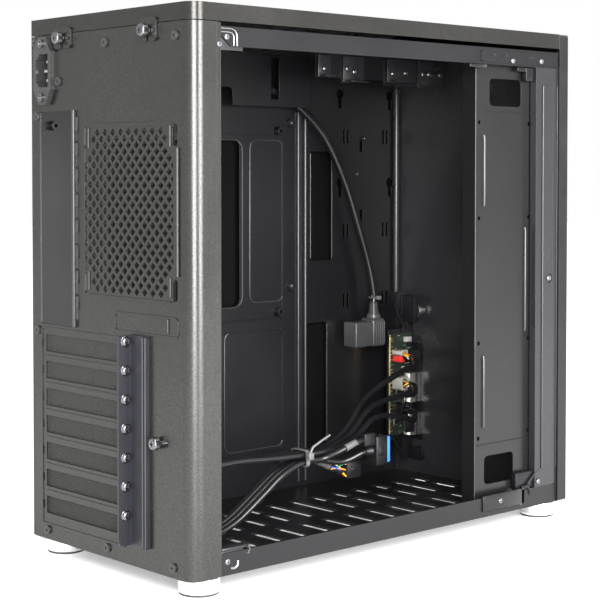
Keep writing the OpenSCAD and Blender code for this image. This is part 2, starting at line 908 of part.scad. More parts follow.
module inlet_screws() {
    color(bright)
        for (s = [-1, 1])
            flush_screw(inlet_x, inlet_z + s * inlet_screw, rear_y + 4, 8);
}

// ---------- fasteners and brackets on the open side ----------
module side_screw(y, z, x, l) {
    difference() {
        union() {
            x_rod(x - 1.6, x, y, z, 3);
            x_rod(x, x + l, y, z, 1.6);
        }
        cross_slot_x(x - 1.7, y, z);
    }
}

module frame_screws() {
    color(bright)
        side_screw(front_y + 22.6, z0 + 188, rail_x, 4);
}

// Small angle plates in the rear corners of the open side
module corner_plate(z, up) {
    a = up > 0 ? z : z - 22;
    difference() {
        union() {
            block([rail_x + steel, frame_end - 22, a],
                [rail_x + 2 * steel, rear_y - return_d, a + 22]);
            // bright hook
            block([rail_x - 0.6, frame_end - 12, up > 0 ? a + 17 : a + 1],
                [rail_x + 2 * steel, frame_end - 9, up > 0 ? a + 21 : a + 5]);
        }
        for (s = [6, 14])
            x_rod(rail_x, rail_x + 4, frame_end - s + 2, z + up * 8, 1.3);
    }
}

module corner_bracket_top() {
    color(rear_grey)
        corner_plate(top_under, -1);
}

module corner_bracket_bottom() {
    color(rear_grey)
        corner_plate(floor_top, 1);
}

module hanger_rail() {
    y0 = wall_in + 8;
    y1 = rear_y - 225;
    color(inner_black)
        difference() {
            union() {
                block([24, y0, top_under - 20], [24 + steel, y1, top_under]);
                block([24 + steel, y0, top_under - steel], [36, y1, top_under]);
                for (y = [[y0 + 0, y0 + 76], [y1 - 38, y1 - 28]])
                    block([24 - steel, y[0], top_under - 24], [24, y[1], top_under - 3]);
            }
            for (y = [y0 + 8, y0 + 30, y0 + 52, y1 - 33])
                x_rod(20, 30, y, top_under - 13, 1.6 + fit);
        }
}

module hanger_screws() {
    y0 = wall_in + 8;
    y1 = rear_y - 225;
    color(bright)
        for (y = [y0 + 8, y0 + 30, y0 + 52, y1 - 33])
            side_screw(y, top_under - 13, 24 - steel, 4);
}

module panel_catch(z, up) {
    y0 = front_y + 39.2;
    y1 = y0 + 22;
    x0 = rail_x + steel;
    a = min(z, z + up * 14);
    b = max(z, z + up * 14);
    color(plastic) {
        block([x0, y0, a], [drive_x - 0.8, y1, b]);
        block([rail_x - 1, y0 + 8, up > 0 ? a : b - 6], [x0, y0 + 14, up > 0 ? a + 6 : b]);
    }
}

module panel_catch_top() {
    panel_catch(rail_low(), -1);
}

module panel_catch_bottom() {
    panel_catch(floor_rail_z, 1);
}

// ---------- front ports ----------
module power_button() {
    color(bright) {
        y_rod(front_y + 0.5, wall_in + 4, button_x, button_z, button_r);
        y_rod(wall_in + 4, wall_in + 7, button_x, button_z, button_r + 2);
    }
}

module io_board() {
    color([0.12, 0.2, 0.12])
        block([board_x, board_y0, board_z0], [board_x + board_t, board_y1, board_z1]);
}

module io_bracket() {
    x0 = board_x + board_t;
    color(plastic) {
        block([x0, wall_in, board_z0 - 24], [x0 + 3, wall_in + 12, board_z1 + 34]);
        block([x0, wall_in + 12, board_z0 - 4], [x0 + 3, board_y1, board_z1 + 4]);
        // arms that hold the bracket to the wall, and the stop behind the button
        block([board_x - 14, wall_in, board_z0 - 24], [x0, wall_in + 3, board_z0 - 12]);
        block([board_x - 14, wall_in + 7 + press + 0.5 + gap, board_z1 + 10],
            [x0, wall_in + 12 + press, board_z1 + 34]);
        block([x0, wall_in + 12, board_z1 + 10], [x0 + 3, wall_in + 12 + press, board_z1 + 34]);
    }
}

module usb_port(i) {
    color(bright)
        difference() {
            block([board_x - port_w, front_y + 1, port_z[i]],
                [board_x - 0, board_y0 + 10, port_z[i] + port_l[i]]);
            block([board_x - port_w + 0.6, front_y, port_z[i] + 0.6],
                [board_x - 0.6, board_y0 + 5, port_z[i] + port_l[i] - 0.6]);
        }
}

module audio_jack() {
    color(plastic)
        difference() {
            union() {
                y_rod(front_y + 1, board_y0, board_x - 5, jack_z, jack_r);
                block([board_x - 10, board_y0, jack_z - 5], [board_x, board_y0 + 12, jack_z + 5]);
            }
            y_rod(front_y, board_y0 + 10, board_x - 5, jack_z, 1.8);
        }
}

module board_headers() {
    color([0.85, 0.85, 0.8])
        for (z = header_z)
            block([board_x - header_l, header_y - 4, z - 6], [board_x, header_y + 4, z + 6]);
}

// ---------- cables ----------
plug_y = rear_y - 345;
plug_z = z0 + 145;
plug_x = tray_x - 13;
lead_exit = [inlet_x + 5, inlet_back, inlet_z];

module ac_lead() {
    route = [
        lead_exit,
        lead_exit + [0, -20, 0],
        [lead_exit[0] + 1.5, 100, inlet_z + 1],
        [tray_x - 7, 50, inlet_z + 1],
        [tray_x - 7, 0, inlet_z - 1],
        [tray_x - 7, -42, inlet_z - 8],
        [tray_x - 8, -70, inlet_z - 23],
        [tray_x - 9, -96, inlet_z - 47],
        [tray_x - 10, -118, inlet_z - 84],
        [tray_x - 11, -134, inlet_z - 124],
        [tray_x - 12, -146, 205],
        [plug_x, plug_y, plug_z + 24],
        [plug_x, plug_y, plug_z + 14]];
    color(plastic)
        tube(route, 6, lead_d, 12, [0, -1, 0], [0, 0, -1]);
}

module ac_plug() {
    color(plastic)
        difference() {
            union() {
                block([plug_x - 8.5, plug_y - 7, plug_z - 25], [plug_x + 8.5, plug_y + 30, plug_z]);
                block([plug_x - 7, plug_y - 6, plug_z], [plug_x + 7, plug_y + 6, plug_z + 4]);
                z_rod(plug_z + 4, plug_z + 14, plug_x, plug_y, 5);
            }
            for (k = [-1 : 1])
                block([plug_x - 2 + (k == 0 ? 1.5 : 0), plug_y + 12, plug_z - 12.5 + 7 * k - 1],
                    [plug_x + 2 + (k == 0 ? 1.5 : 0), plug_y + 31, plug_z - 12.5 + 7 * k + 1]);
        }
}

module lead_tie() {
    z = plug_z + 17;
    color([0.9, 0.9, 0.9]) {
        difference() {
            facing_z(z, z + 2.6)
                difference() {
                    rounded([plug_x - lead_d / 2 - 1.2, plug_y - lead_d / 2 - 1.2],
                        [plug_x + lead_d / 2 + 1.2, plug_y + lead_d / 2 + 1.2], 3);
                    translate([plug_x, plug_y])
                        circle(r = lead_d / 2, $fn = fine);
                }
        }
        block([plug_x - lead_d / 2 - 4.2, plug_y - 2.2, z - 0.8],
            [plug_x - lead_d / 2 - 1, plug_y + 2.2, z + 3.4]);
    }
}

// Strand i of the bundle: its place across the tie
function across(i) = strand_x + i * strand;

// From a header on the front board down to the tie, round the loop at the rear and back to the tie
function bundle_route(i, tail) = concat([
    lead_start + [0, 0, header_z[i]],
    lead_start + [-7, 0, header_z[i]],
    lead_start + [-16, 4, header_z[i] - 1],
    lead_start + [-24, 14, header_z[i] - 5],
    [lead_start[0] - 32 + 2 * i, lead_start[1] + 34, header_z[i] * 0.82 + 14],
    [18 + i * 6, -95, 80 + i * 8],
    [across(i) + 14, -50, 70 + i * 3],
    [across(i) + 3, -15, upper_z + 0.4],
    [across(i), tie_y, upper_z],
    [across(i), 50, upper_z + 1],
    [across(i), 90, upper_z + 3],
    [across(i), 122, upper_z],
    [across(i), 143, 53],
    [across(i), 146, 34],
    [across(i), 133, loop_low + 3],
    [across(i), 112, loop_low],
    [across(i), 88, 24],
    [across(i), 62, 40],
    [across(i), 40, 54],
    [across(i), tie_y, lower_z]], tail);

audio_end = [-26, -36, 73];
usb_end = [-18, -52, 62];
panel_end = [-6, -36, 46];

module audio_lead() {
    tail = [[across(0) - 1, 0, lower_z + 0.3], [-22, -13, 66], [-26, -27, 72], audio_end];
    color(plastic)
        tube(bundle_route(0, tail), 3, strand_d, 10, [-1, 0, 0], [0, -1, 0]);
}

module usb_lead() {
    tail = [[across(1) - 0.5, 0, lower_z - 1], [-14, -24, 55.5], [-18, -43, 61], usb_end];
    color(plastic)
        tube(bundle_route(1, tail), 3, strand_d, 10, [-1, 0, 0], [0, -1, 0]);
}

module panel_lead() {
    tail = [[across(2), 0, lower_z - 1], [-5, -14, 54], [-6, -27, 47], panel_end];
    color(plastic)
        tube(bundle_route(2, tail), 3, strand_d, 10, [-1, 0, 0], [0, -1, 0]);
}

module usb_plug() {
    color([0.1, 0.3, 0.7])
        difference() {
            union() {
                block(usb_end + [-8, -12, -12], usb_end + [8, 0, 12]);
                block(usb_end + [-6, -17, -10], usb_end + [6, -12, 10]);
            }
            block(usb_end + [-4, -18, -8.5], usb_end + [4, -10, 8.5]);
        }
}

module audio_plug() {
    color(plastic)
        difference() {
            block(audio_end + [-2.6, -12, -5], audio_end + [2.6, 0, 5]);
            block(audio_end + [-1.6, -13, -4], audio_end + [1.6, -6, 4]);
        }
}

module panel_plug() {
    color(plastic)
        difference() {
            block(panel_end + [-2.8, -15, -6.6], panel_end + [2.8, 0, 6.6]);
            for (k = [0 : 4], s = [-1.3, 1.3])
                block(panel_end + [s - 0.5, -16, k * 2.54 - 5.6], panel_end + [s + 0.5, -8, k * 2.54 - 4.6]);
        }
}

module bundle_tie() {
    a = [across(0) - strand_d / 2, lower_z - strand_d / 2];
    b = [across(2) + strand_d / 2, upper_z + strand_d / 2];
    color([0.9, 0.9, 0.9]) {
        facing_y(tie_y - 1.8, tie_y + 1.8)
            difference() {
                rounded(a - [1.2, 1.2], b + [1.2, 1.2], 3);
                rounded(a, b, 2);
            }
        block([a[0] - 5.4, tie_y - 2.8, upper_z - 2.4], [a[0] - 1, tie_y + 2.8, upper_z + 2.4]);
        block([a[0] - 4.2, tie_y - 1.4, upper_z + 2.4], [a[0] - 3, tie_y + 1.4, upper_z + 16]);
    }
}

rear_panel();
top_cover();
cover_tab(0);  // cover_tab_1
cover_tab(1);  // cover_tab_2
right_side_panel();
front_panel();
floor_panel();
top_panel();
motherboard_tray();
wiring_cover();
front_frame();
drive_panel();
slot_cover(1);  // slot_cover_1
slot_cover(2);  // slot_cover_2
slot_cover(3);  // slot_cover_3
slot_cover(4);  // slot_cover_4
slot_cover(5);  // slot_cover_5
slot_cover(6);  // slot_cover_6
slot_cover(7);  // slot_cover_7
slot_bracket();
slot_screws();
thumb_screw(lock_x, lock_z, rear_y + gap);  // slot_lock_screw
thumb_screw(tab_x[0], tab_z[0], thumb_y);  // cover_screw_1
thumb_screw(tab_x[1], tab_z[1], thumb_y);  // cover_screw_2
ac_inlet();
ac_pins();
inlet_screws();
rear_screws();
frame_screws();
corner_bracket_top();
corner_bracket_bottom();
hanger_rail();
hanger_screws();
foot(0);  // foot_1
foot(1);  // foot_2
foot(2);  // foot_3
foot(3);  // foot_4
foot_pad(0);  // pad_1
foot_pad(1);  // pad_2
foot_pad(2);  // pad_3
foot_pad(3);  // pad_4
panel_catch_top();
panel_catch_bottom();
power_button();
io_board();
io_bracket();
usb_port(0);  // usb_port_1
usb_port(1);  // usb_port_2
audio_jack();
board_headers();
ac_lead();
ac_plug();
lead_tie();
usb_lead();
usb_plug();
audio_lead();
audio_plug();
panel_lead();
panel_plug();
bundle_tie();
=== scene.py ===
import json
import math
import random

import bmesh
import bpy
from mathutils import Matrix, Vector


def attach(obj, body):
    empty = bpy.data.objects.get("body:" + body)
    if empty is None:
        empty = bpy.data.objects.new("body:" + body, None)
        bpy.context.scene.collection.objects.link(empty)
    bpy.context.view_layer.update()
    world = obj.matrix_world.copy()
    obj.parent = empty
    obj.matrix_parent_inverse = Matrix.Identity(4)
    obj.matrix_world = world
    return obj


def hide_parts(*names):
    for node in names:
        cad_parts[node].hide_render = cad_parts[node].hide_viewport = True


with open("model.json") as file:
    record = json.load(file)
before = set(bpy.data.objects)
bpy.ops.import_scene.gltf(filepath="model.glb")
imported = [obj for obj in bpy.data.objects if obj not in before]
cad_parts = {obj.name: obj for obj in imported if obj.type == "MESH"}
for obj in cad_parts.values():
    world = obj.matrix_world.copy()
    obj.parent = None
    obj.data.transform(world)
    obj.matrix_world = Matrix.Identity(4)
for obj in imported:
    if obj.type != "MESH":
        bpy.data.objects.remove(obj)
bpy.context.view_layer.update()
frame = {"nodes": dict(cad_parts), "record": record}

scene = bpy.context.scene
MM = 0.001


# ---------- camera ----------
CAMERA_PLACE = (-0.9112, 0.8371, 0.2894)
CAMERA_HEADING = math.radians(-42.288)
CAMERA_TILT = math.radians(1.8)


def make_camera():
    """The view from behind and to the open side, level with the upper part of the tower."""
    data = bpy.data.cameras.new("camera")
    camera = bpy.data.objects.new("camera", data)
    scene.collection.objects.link(camera)
    level = math.cos(CAMERA_TILT)
    look = Vector((math.cos(CAMERA_HEADING) * level, math.sin(CAMERA_HEADING) * level,
            -math.sin(CAMERA_TILT)))
    camera.location = CAMERA_PLACE
    camera.rotation_mode = "QUATERNION"
    camera.rotation_quaternion = look.to_track_quat("-Z", "Y")
    data.sensor_width = 36
    data.lens = 93.44
    data.shift_y = -0.1347
    data.clip_start, data.clip_end = 0.05, 50
    scene.camera = camera


make_camera()


# ---------- materials ----------
def new_material(name):
    made = bpy.data.materials.new(name)
    made.use_nodes = True
    tree = made.node_tree
    return made, tree.nodes, tree.links, tree.nodes["Principled BSDF"]


def object_coordinates(nodes):
    return nodes.new("ShaderNodeTexCoord").outputs["Object"]


def noise(nodes, links, place, scale, detail=3.0, rough=0.5):
    made = nodes.new("ShaderNodeTexNoise")
    made.inputs["Scale"].default_value = scale
    made.inputs["Detail"].default_value = detail
    made.inputs["Roughness"].default_value = rough
    links.new(place, made.inputs["Vector"])
    return made.outputs["Fac"]


def ramp(nodes, links, value, stops):
    made = nodes.new("ShaderNodeValToRGB")
    elements = made.color_ramp.elements
    while len(elements) < len(stops):
        elements.new(0.5)
    for element, (at, colour) in zip(elements, stops):
        element.position = at
        element.color = (*colour, 1)
    links.new(value, made.inputs["Fac"])
    return made.outputs["Color"]


def spread(nodes, links, value, low, high, start=0.3, end=0.7):
    made = nodes.new("ShaderNodeMapRange")
    made.inputs["From Min"].default_value = start
    made.inputs["From Max"].default_value = end
    made.inputs["To Min"].default_value = low
    made.inputs["To Max"].default_value = high
    links.new(value, made.inputs["Value"])
    return made.outputs["Result"]


def bump(nodes, links, value, strength, distance, normal=None):
    made = nodes.new("ShaderNodeBump")
    made.inputs["Strength"].default_value = strength
    made.inputs["Distance"].default_value = distance
    links.new(value, made.inputs["Height"])
    if normal is not None:
        links.new(normal, made.inputs["Normal"])
    return made.outputs["Normal"]


def soft_edge(nodes, radius):
    made = nodes.new("ShaderNodeBevel")
    made.samples = 3
    made.inputs["Radius"].default_value = radius
    return made.outputs["Normal"]


def shade(colour, factor):
    return tuple(min(1.0, c * factor) for c in colour)


def painted(name, colour, rough, grain, depth, edge=0.0004, speckle=0.25, metallic=0.0, specular=0.5):
    """Powder coat or paint: fine grains that catch the light, and a slow drift of tone and gloss."""
    made, nodes, links, shader = new_material(name)
    place = object_coordinates(nodes)
    fine = noise(nodes, links, place, grain, 2.0, 0.6)
    slow = noise(nodes, links, place, 9.0, 3.0, 0.55)
    grains = ramp(nodes, links, fine, [(0.34, shade(colour, 1 - speckle)), (0.52, colour), (0.70,
            shade(colour, 1 + speckle))])
    drift = ramp(nodes, links, slow, [(0.3, shade((1, 1, 1), 0.90)), (0.7, (1, 1, 1))])
    mix = nodes.new("ShaderNodeMix")
    mix.data_type = "RGBA"
    mix.blend_type = "MULTIPLY"
    mix.inputs["Factor"].default_value = 1.0
    links.new(grains, mix.inputs["A"])
    links.new(drift, mix.inputs["B"])
    links.new(mix.outputs["Result"], shader.inputs["Base Color"])
    links.new(spread(nodes, links, slow, rough - 0.04, rough + 0.05), shader.inputs["Roughness"])
    links.new(bump(nodes, links, fine, 0.5, depth, soft_edge(nodes, edge)), shader.inputs["Normal"])
    shader.inputs["Metallic"].default_value = metallic
    shader.inputs["Specular IOR Level"].default_value = specular
    return made


def moulded(name, colour, rough, grain=1400, depth=0.00003, edge=0.0003, specular=0.5):
    """Moulded plastic: a fine spark-eroded grain and slightly uneven gloss."""
    made, nodes, links, shader = new_material(name)
    place = object_coordinates(nodes)
    fine = noise(nodes, links, place, grain, 2.0, 0.5)
    slow = noise(nodes, links, place, 40.0, 3.0, 0.5)
    links.new(ramp(nodes, links, slow, [(0.3, shade(colour, 0.85)), (0.7, shade(colour, 1.15))]),
            shader.inputs["Base Color"])
    links.new(spread(nodes, links, slow, rough - 0.05, rough + 0.06), shader.inputs["Roughness"])
    links.new(bump(nodes, links, fine, 0.4, depth, soft_edge(nodes, edge)), shader.inputs["Normal"])
    shader.inputs["Specular IOR Level"].default_value = specular
    return made


def plated(name, colour, rough, scratch=0.00001, stretch=(1, 1, 12), edge=0.0002):
    """Plated or turned metal: drawn fine lines, and small changes of gloss."""
    made, nodes, links, shader = new_material(name)
    place = object_coordinates(nodes)
    mapping = nodes.new("ShaderNodeMapping")
    mapping.inputs["Scale"].default_value = stretch
    links.new(place, mapping.inputs["Vector"])
    lines = noise(nodes, links, mapping.outputs["Vector"], 500.0, 3.0, 0.6)
    slow = noise(nodes, links, place, 120.0, 2.0, 0.5)
    links.new(ramp(nodes, links, slow, [(0.3, shade(colour, 0.88)), (0.7, shade(colour, 1.06))]),
            shader.inputs["Base Color"])
    links.new(spread(nodes, links, lines, rough - 0.06, rough + 0.08), shader.inputs["Roughness"])
    links.new(bump(nodes, links, lines, 0.3, scratch, soft_edge(nodes, edge)), shader.inputs["Normal"])
    shader.inputs["Metallic"].default_value = 1.0
    return made


outer_coat = painted("outer_coat", (0.066, 0.066, 0.063), 0.26, 1100, 0.00003, speckle=0.26,
        metallic=0.85, specular=0.5)
# a darker copy of the outer coat for the top cover: painted shade, the cover has the same finish as the rear
# sheet
painted_shade_cover_coat = painted("painted_shade_cover_coat", (0.046, 0.045, 0.042), 0.25, 1100, 0.00004, speckle=0.28,
        metallic=0.75, specular=0.5)
inner_paint = painted("inner_paint", (0.007, 0.007, 0.008), 0.30, 1100, 0.00003, speckle=0.18,
        specular=0.34)
front_paint = painted("front_paint", (0.018, 0.018, 0.020), 0.26, 1100, 0.00003, speckle=0.15)
panel_paint = painted("panel_paint", (0.008, 0.008, 0.008), 0.28, 1300, 0.00004, speckle=0.20,
        specular=0.40)
bracket_paint = painted("bracket_paint", (0.018, 0.018, 0.024), 0.40, 1300, 0.00006, speckle=0.18)
mesh_paint = painted("mesh_paint", (0.034, 0.034, 0.032), 0.40, 1500, 0.00006, speckle=0.2, edge=0.0002)
screw_paint = painted("screw_paint", (0.035, 0.035, 0.033), 0.34, 1500, 0.00005, speckle=0.15, edge=0.0003)
# lighter, less metallic copy of the sheet paint for beads, hems and rolled edges: painted highlight
painted_highlight_edge_paint = painted("painted_highlight_edge_paint", (0.070, 0.070, 0.070), 0.28, 1500, 0.00002, speckle=0.12, metallic=0.6)
black_plastic = moulded("black_plastic", (0.007, 0.007, 0.008), 0.30, specular=0.35)
inlet_plastic = moulded("inlet_plastic", (0.030, 0.030, 0.030), 0.28)
plug_grey = moulded("plug_grey", (0.050, 0.050, 0.050), 0.22)
# grey paint for the ridges and rivets of the black tray: painted highlight
painted_highlight_bead_paint = painted("painted_highlight_bead_paint", (0.060, 0.060, 0.063), 0.24, 1500, 0.00002, speckle=0.12, metallic=0.6)
# near-black and barely reflecting: painted shade for the sheet behind the tray's openings
painted_shade_black = moulded("painted_shade_black", (0.003, 0.003, 0.003), 0.85, specular=0.04)
rubber = moulded("rubber", (0.03, 0.03, 0.03), 0.75, grain=900, depth=0.00006)
jacket = moulded("jacket", (0.008, 0.008, 0.009), 0.19, grain=700, depth=0.00002)
sleeve_grey = moulded("sleeve_grey", (0.085, 0.085, 0.085), 0.55, grain=1800, depth=0.00010)
board_green = moulded("board_green", (0.012, 0.020, 0.013), 0.25, grain=2200, depth=0.00002)
off_white = moulded("off_white", (0.34, 0.33, 0.30), 0.4)
red_plastic = moulded("red_plastic", (0.55, 0.025, 0.02), 0.38)
blue_plastic = moulded("blue_plastic", (0.03, 0.16, 0.70), 0.38)
tie_nylon = moulded("tie_nylon", (0.12, 0.12, 0.12), 0.30)
gold = plated("gold", (0.72, 0.58, 0.30), 0.3)
black_nickel = plated("black_nickel", (0.20, 0.20, 0.21), 0.16)
zinc = plated("zinc", (0.30, 0.30, 0.31), 0.26)
foot_metal = plated("foot_metal", (0.93, 0.93, 0.91), 0.34, stretch=(1, 1, 30))
nickel = plated("nickel", (0.70, 0.69, 0.66), 0.28)
satin_metal = plated("satin_metal", (0.62, 0.62, 0.62), 0.34)
wire_colours = [moulded("wire_" + kind, colour, 0.35) for kind, colour in (
    ("red", (0.60, 0.02, 0.02)), ("yellow", (0.75, 0.50, 0.03)), ("white", (0.75, 0.75, 0.72)),
    ("black", (0.02, 0.02, 0.02)), ("blue", (0.03, 0.12, 0.55)), ("orange", (0.72, 0.22, 0.02)),
    ("green", (0.03, 0.28, 0.08)), ("pink", (0.72, 0.30, 0.35)))]

finish_of = {
    "outer_finish": outer_coat, "inner_finish": inner_paint, "panel_finish": panel_paint,
    "mesh_finish": mesh_paint, "bracket_finish": bracket_paint, "dark_screws": black_nickel,
    "bright_screws": zinc, "painted_screws": screw_paint, "black_plastic": black_plastic,
    "plated_metal": nickel, "foot_metal": foot_metal, "pad_rubber": rubber,
    "button_metal": satin_metal, "board": board_green, "header_plastic": off_white,
    "cable_jacket": jacket, "plug_plastic": black_plastic, "blue_plastic": blue_plastic,
    "clear_plastic": tie_nylon,
}
# the top cover gets the darker copy of the outer coat, which is painted shade
finish_of_node = {"front_frame": front_paint, "ac_inlet": inlet_plastic, "top_cover": painted_shade_cover_coat}
for row in frame["record"]["subparts"]:
    target = frame["nodes"][row["node"]]
    target.data.materials.clear()
    target.data.materials.append(finish_of_node.get(row["node"], finish_of[row["material_slot"]]))


# ---------- cables ----------
def along(points, i, t):
    last = len(points) - 1
    a, b = points[max(i - 1, 0)], points[i]
    c, d = points[min(i + 1, last)], points[min(i + 2, last)]
    squared = (2 * a - 5 * b + 4 * c - d) * t * t
    cubed = (3 * b - a - 3 * c + d) * t ** 3
    return 0.5 * (2 * b + (c - a) * t + squared + cubed)


def smooth_route(points, steps):
    points = [Vector(p) * MM for p in points]
    made = [along(points, i, s / steps) for i in range(len(points) - 1) for s in range(steps)]
    return made + [points[-1]]


def cable(name, route, diameter, node, steps=8):
    """A round cable as a swept curve on its route."""
    line = smooth_route(route, steps)
    data = bpy.data.curves.new(name, "CURVE")
    data.dimensions = "3D"
    spline = data.splines.new("POLY")
    spline.points.add(len(line) - 1)
    for point, at in zip(spline.points, line):
        point.co = (*at, 1)
    data.bevel_depth = diameter / 2
    data.bevel_resolution = 5
    data.use_fill_caps = True
    data.materials.append(jacket)
    made = bpy.data.objects.new(name, data)
    scene.collection.objects.link(made)
    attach(made, "case")
    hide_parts(node)
    return made, line


ac_route = [
    (82.3, 168, 363.3), (82.3, 148, 363.3), (83.8, 100, 364.3), (83, 50, 364.3), (83, 0, 362.3),
    (83, -42, 355.3), (82, -70, 340.3), (81, -96, 316.3), (80, -118, 279.3), (79, -134, 239.3),
    (78, -146, 205), (77, -151, 181), (77, -151, 171)]
ac_lead, ac_line = cable("mains_lead", ac_route, 0.007, "ac_lead")


def bundle_route(i, tail):
    across = -16 + 5.6 * i
    header = 74 + 24 * (i)
    x, y = 56, -170
    return [
        (x, y, header), (x - 7, y, header), (x - 16, y + 4, header - 1), (x - 24, y + 14, header - 5),
        (x - 32 + 2 * i, y + 34, header * 0.82 + 14), (18 + i * 6, -95, 80 + i * 8),
        (across + 14, -50, 70 + i * 3), (across + 3, -15, 67), (across, 17.5, 66.6), (across, 50, 67.6),
        (across, 90, 69.6), (across, 122, 66.6), (across, 143, 53), (across, 146, 34), (across, 133, 20),
        (across, 112, 17), (across, 88, 24), (across, 62, 40), (across, 40, 54), (across, 17.5, 61), *tail]


tails = {
    "audio": [(-17, 0, 61.3), (-22, -13, 66), (-26, -27, 72), (-26, -36, 73)],
    "usb": [(-10.9, 0, 60), (-14, -24, 55.5), (-18, -43, 61), (-18, -52, 62)],
    "panel": [(-4.8, 0, 60), (-5, -14, 54), (-6, -27, 47), (-6, -36, 46)],
}
for i, kind in enumerate(("audio", "usb", "panel")):
    cable(kind + "_cable", bundle_route(i, tails[kind]), 0.005, kind + "_lead")


# ---------- shapes ----------
def block(shape, low, high, round_by=0.3, segments=2):
    """A box between two corners with rounded edges."""
    low, high = Vector(low), Vector(high)
    size = high - low
    place = Matrix.Translation((low + high) / 2) @ Matrix.Diagonal((*size, 1))
    made = bmesh.ops.create_cube(shape, size=1, matrix=place)
    if round_by:
        edges = list({edge for vert in made["verts"] for edge in vert.link_edges})
        bmesh.ops.bevel(shape, geom=edges, offset=round_by, segments=segments, affect="EDGES",
                profile=0.5, material=-1)


def toward(at, along):
    return Matrix.Translation(at) @ Vector(along).to_track_quat("Z", "Y").to_matrix().to_4x4()


def joined(shape, part, place):
    """Puts a small finished shape into a larger one."""
    bmesh.ops.transform(part, matrix=place, verts=part.verts)
    carrier = bpy.data.meshes.new("carrier")
    part.to_mesh(carrier)
    part.free()
    shape.from_mesh(carrier)
    bpy.data.meshes.remove(carrier)


def turned(shape, profile, at, along, steps=32):
    """A turned shape: its profile is a list of radius and height, spun round its axis."""
    part = bmesh.new()
    verts = [part.verts.new((r, 0, h)) for r, h in profile]
    edges = [part.edges.new(pair) for pair in zip(verts, verts[1:])]
    bmesh.ops.spin(part, geom=verts + edges, cent=(0, 0, 0), axis=(0, 0, 1), angle=2 * math.pi,
            steps=steps, use_merge=True)
    bmesh.ops.remove_doubles(part, verts=part.verts, dist=0.0005)
    joined(shape, part, toward(at, along))


def headed(shape, profile, at, along, arm=1.9, width=0.45, depth=1.1, sides=32, knurl=0.0):
    """A screw head on an axis, with a cross recess in its flat top and, if asked, a knurled side."""
    part = bmesh.new()
    rings = []
    for r, h, ridged in profile:
        rings.append([part.verts.new((
            (r - knurl * ridged * (k % 2)) * math.cos(2 * math.pi * k / sides),
            (r - knurl * ridged * (k % 2)) * math.sin(2 * math.pi * k / sides), h)) for k in range(sides)])
    for low, high in zip(rings, rings[1:]):
        for k in range(sides):
            part.faces.new((low[k], low[(k + 1) % sides], high[(k + 1) % sides], high[k]))
    part.faces.new(list(reversed(rings[0])))
    top = profile[-1][1]
    cross = [(arm, -width), (arm, width), (width, width), (width, arm), (-width, arm), (-width, width),
             (-arm, width), (-arm, -width), (-width, -width), (-width, -arm), (width, -arm), (width,
                     -width)]
    upper = [part.verts.new((x, y, top)) for x, y in cross]
    lower = [part.verts.new((x * 0.8, y * 0.8, top - depth)) for x, y in cross]
    edges = [part.edges.new((upper[k], upper[(k + 1) % 12])) for k in range(12)]
    edges += [part.edges.get((rings[-1][k], rings[-1][(k + 1) % sides])) for k in range(sides)]
    bmesh.ops.triangle_fill(part, use_beauty=True, use_dissolve=False, edges=edges)
    for k in range(12):
        part.faces.new((upper[k], upper[(k + 1) % 12], lower[(k + 1) % 12], lower[k]))
    part.faces.new(lower)
    bmesh.ops.recalc_face_normals(part, faces=part.faces)
    joined(shape, part, toward(at, along))


def swept(shape, path, radius, sides=10, closed=False, end_radius=None):
    """A round bar along a path; its radius may taper to the far end."""
    path = [Vector(p) for p in path]
    count = len(path)
    side = None
    rings = []
    for n, at in enumerate(path):
        before = path[n - 1] if n or closed else at
        after = path[(n + 1) % count] if n < count - 1 or closed else at
        ahead = (after - before).normalized()
        if side is None:
            side = ahead.orthogonal().normalized()
        side = (side - side.dot(ahead) * ahead).normalized()
        other = ahead.cross(side)
        r = radius if end_radius is None else radius + (end_radius - radius) * n / (count - 1)
        turns = [2 * math.pi * k / sides for k in range(sides)]
        rings.append([shape.verts.new(at + r * (side * math.cos(a) + other * math.sin(a))) for a in turns])
    pairs = list(zip(rings, rings[1:])) + ([(rings[-1], rings[0])] if closed else [])
    for low, high in pairs:
        for k in range(sides):
            shape.faces.new((low[k], low[(k + 1) % sides], high[(k + 1) % sides], high[k]))
    if not closed:
        shape.faces.new(list(reversed(rings[0])))
        shape.faces.new(rings[-1])


def loop_on_tray(y0, y1, z0, z1, r, x):
    """A rounded rectangle's outline on an upright plane."""
    made = []
    for cy, cz, start in ((y1 - r, z1 - r, 0), (y0 + r, z1 - r, 90), (y0 + r, z0 + r, 180), (y1 - r,
            z0 + r, 270)):
        for k in range(5):
            turn = math.radians(start + 22.5 * k)
            made.append((x, cy + r * math.cos(turn), cz + r * math.sin(turn)))
    return made


def finished(name, shape, material, replaces=(), rides="case", sharp=35):
    """Makes a shape drawn in millimetres into a piece of the tower."""
    bmesh.ops.transform(shape, matrix=Matrix.Diagonal((MM, MM, MM, 1)), verts=shape.verts)
    bmesh.ops.recalc_face_normals(shape, faces=shape.faces)
    for face in shape.faces:
        face.smooth = True
    mesh = bpy.data.meshes.new(name)
    shape.to_mesh(mesh)
    shape.free()
    mesh.set_sharp_from_angle(angle=math.radians(sharp))
    mesh.materials.append(material)
    made = bpy.data.objects.new(name, mesh)
    scene.collection.objects.link(made)
    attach(made, rides)
    if replaces:
        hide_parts(*replaces)
    return made


# ---------- rear sheet ----------
REAR = 194.0           # outer face of the rear sheet
SLOT_PITCH = 20.32
TOP_SLOT = 160.3       # middle of the highest slot plate
SLOT_SCREW = 170.3     # the highest of the slot screws
TABS = 8               # folded tabs beside the connector opening
TAB_BOTTOM = 188.2
TAB_PITCH = 18.6
TAB_H = 9.6
LATTICE_PITCH = 2.3
LATTICE_HALF = 0.27    # half the width of a strand
TRAY = 89.8            # face of the board tray, a little inside its ridges


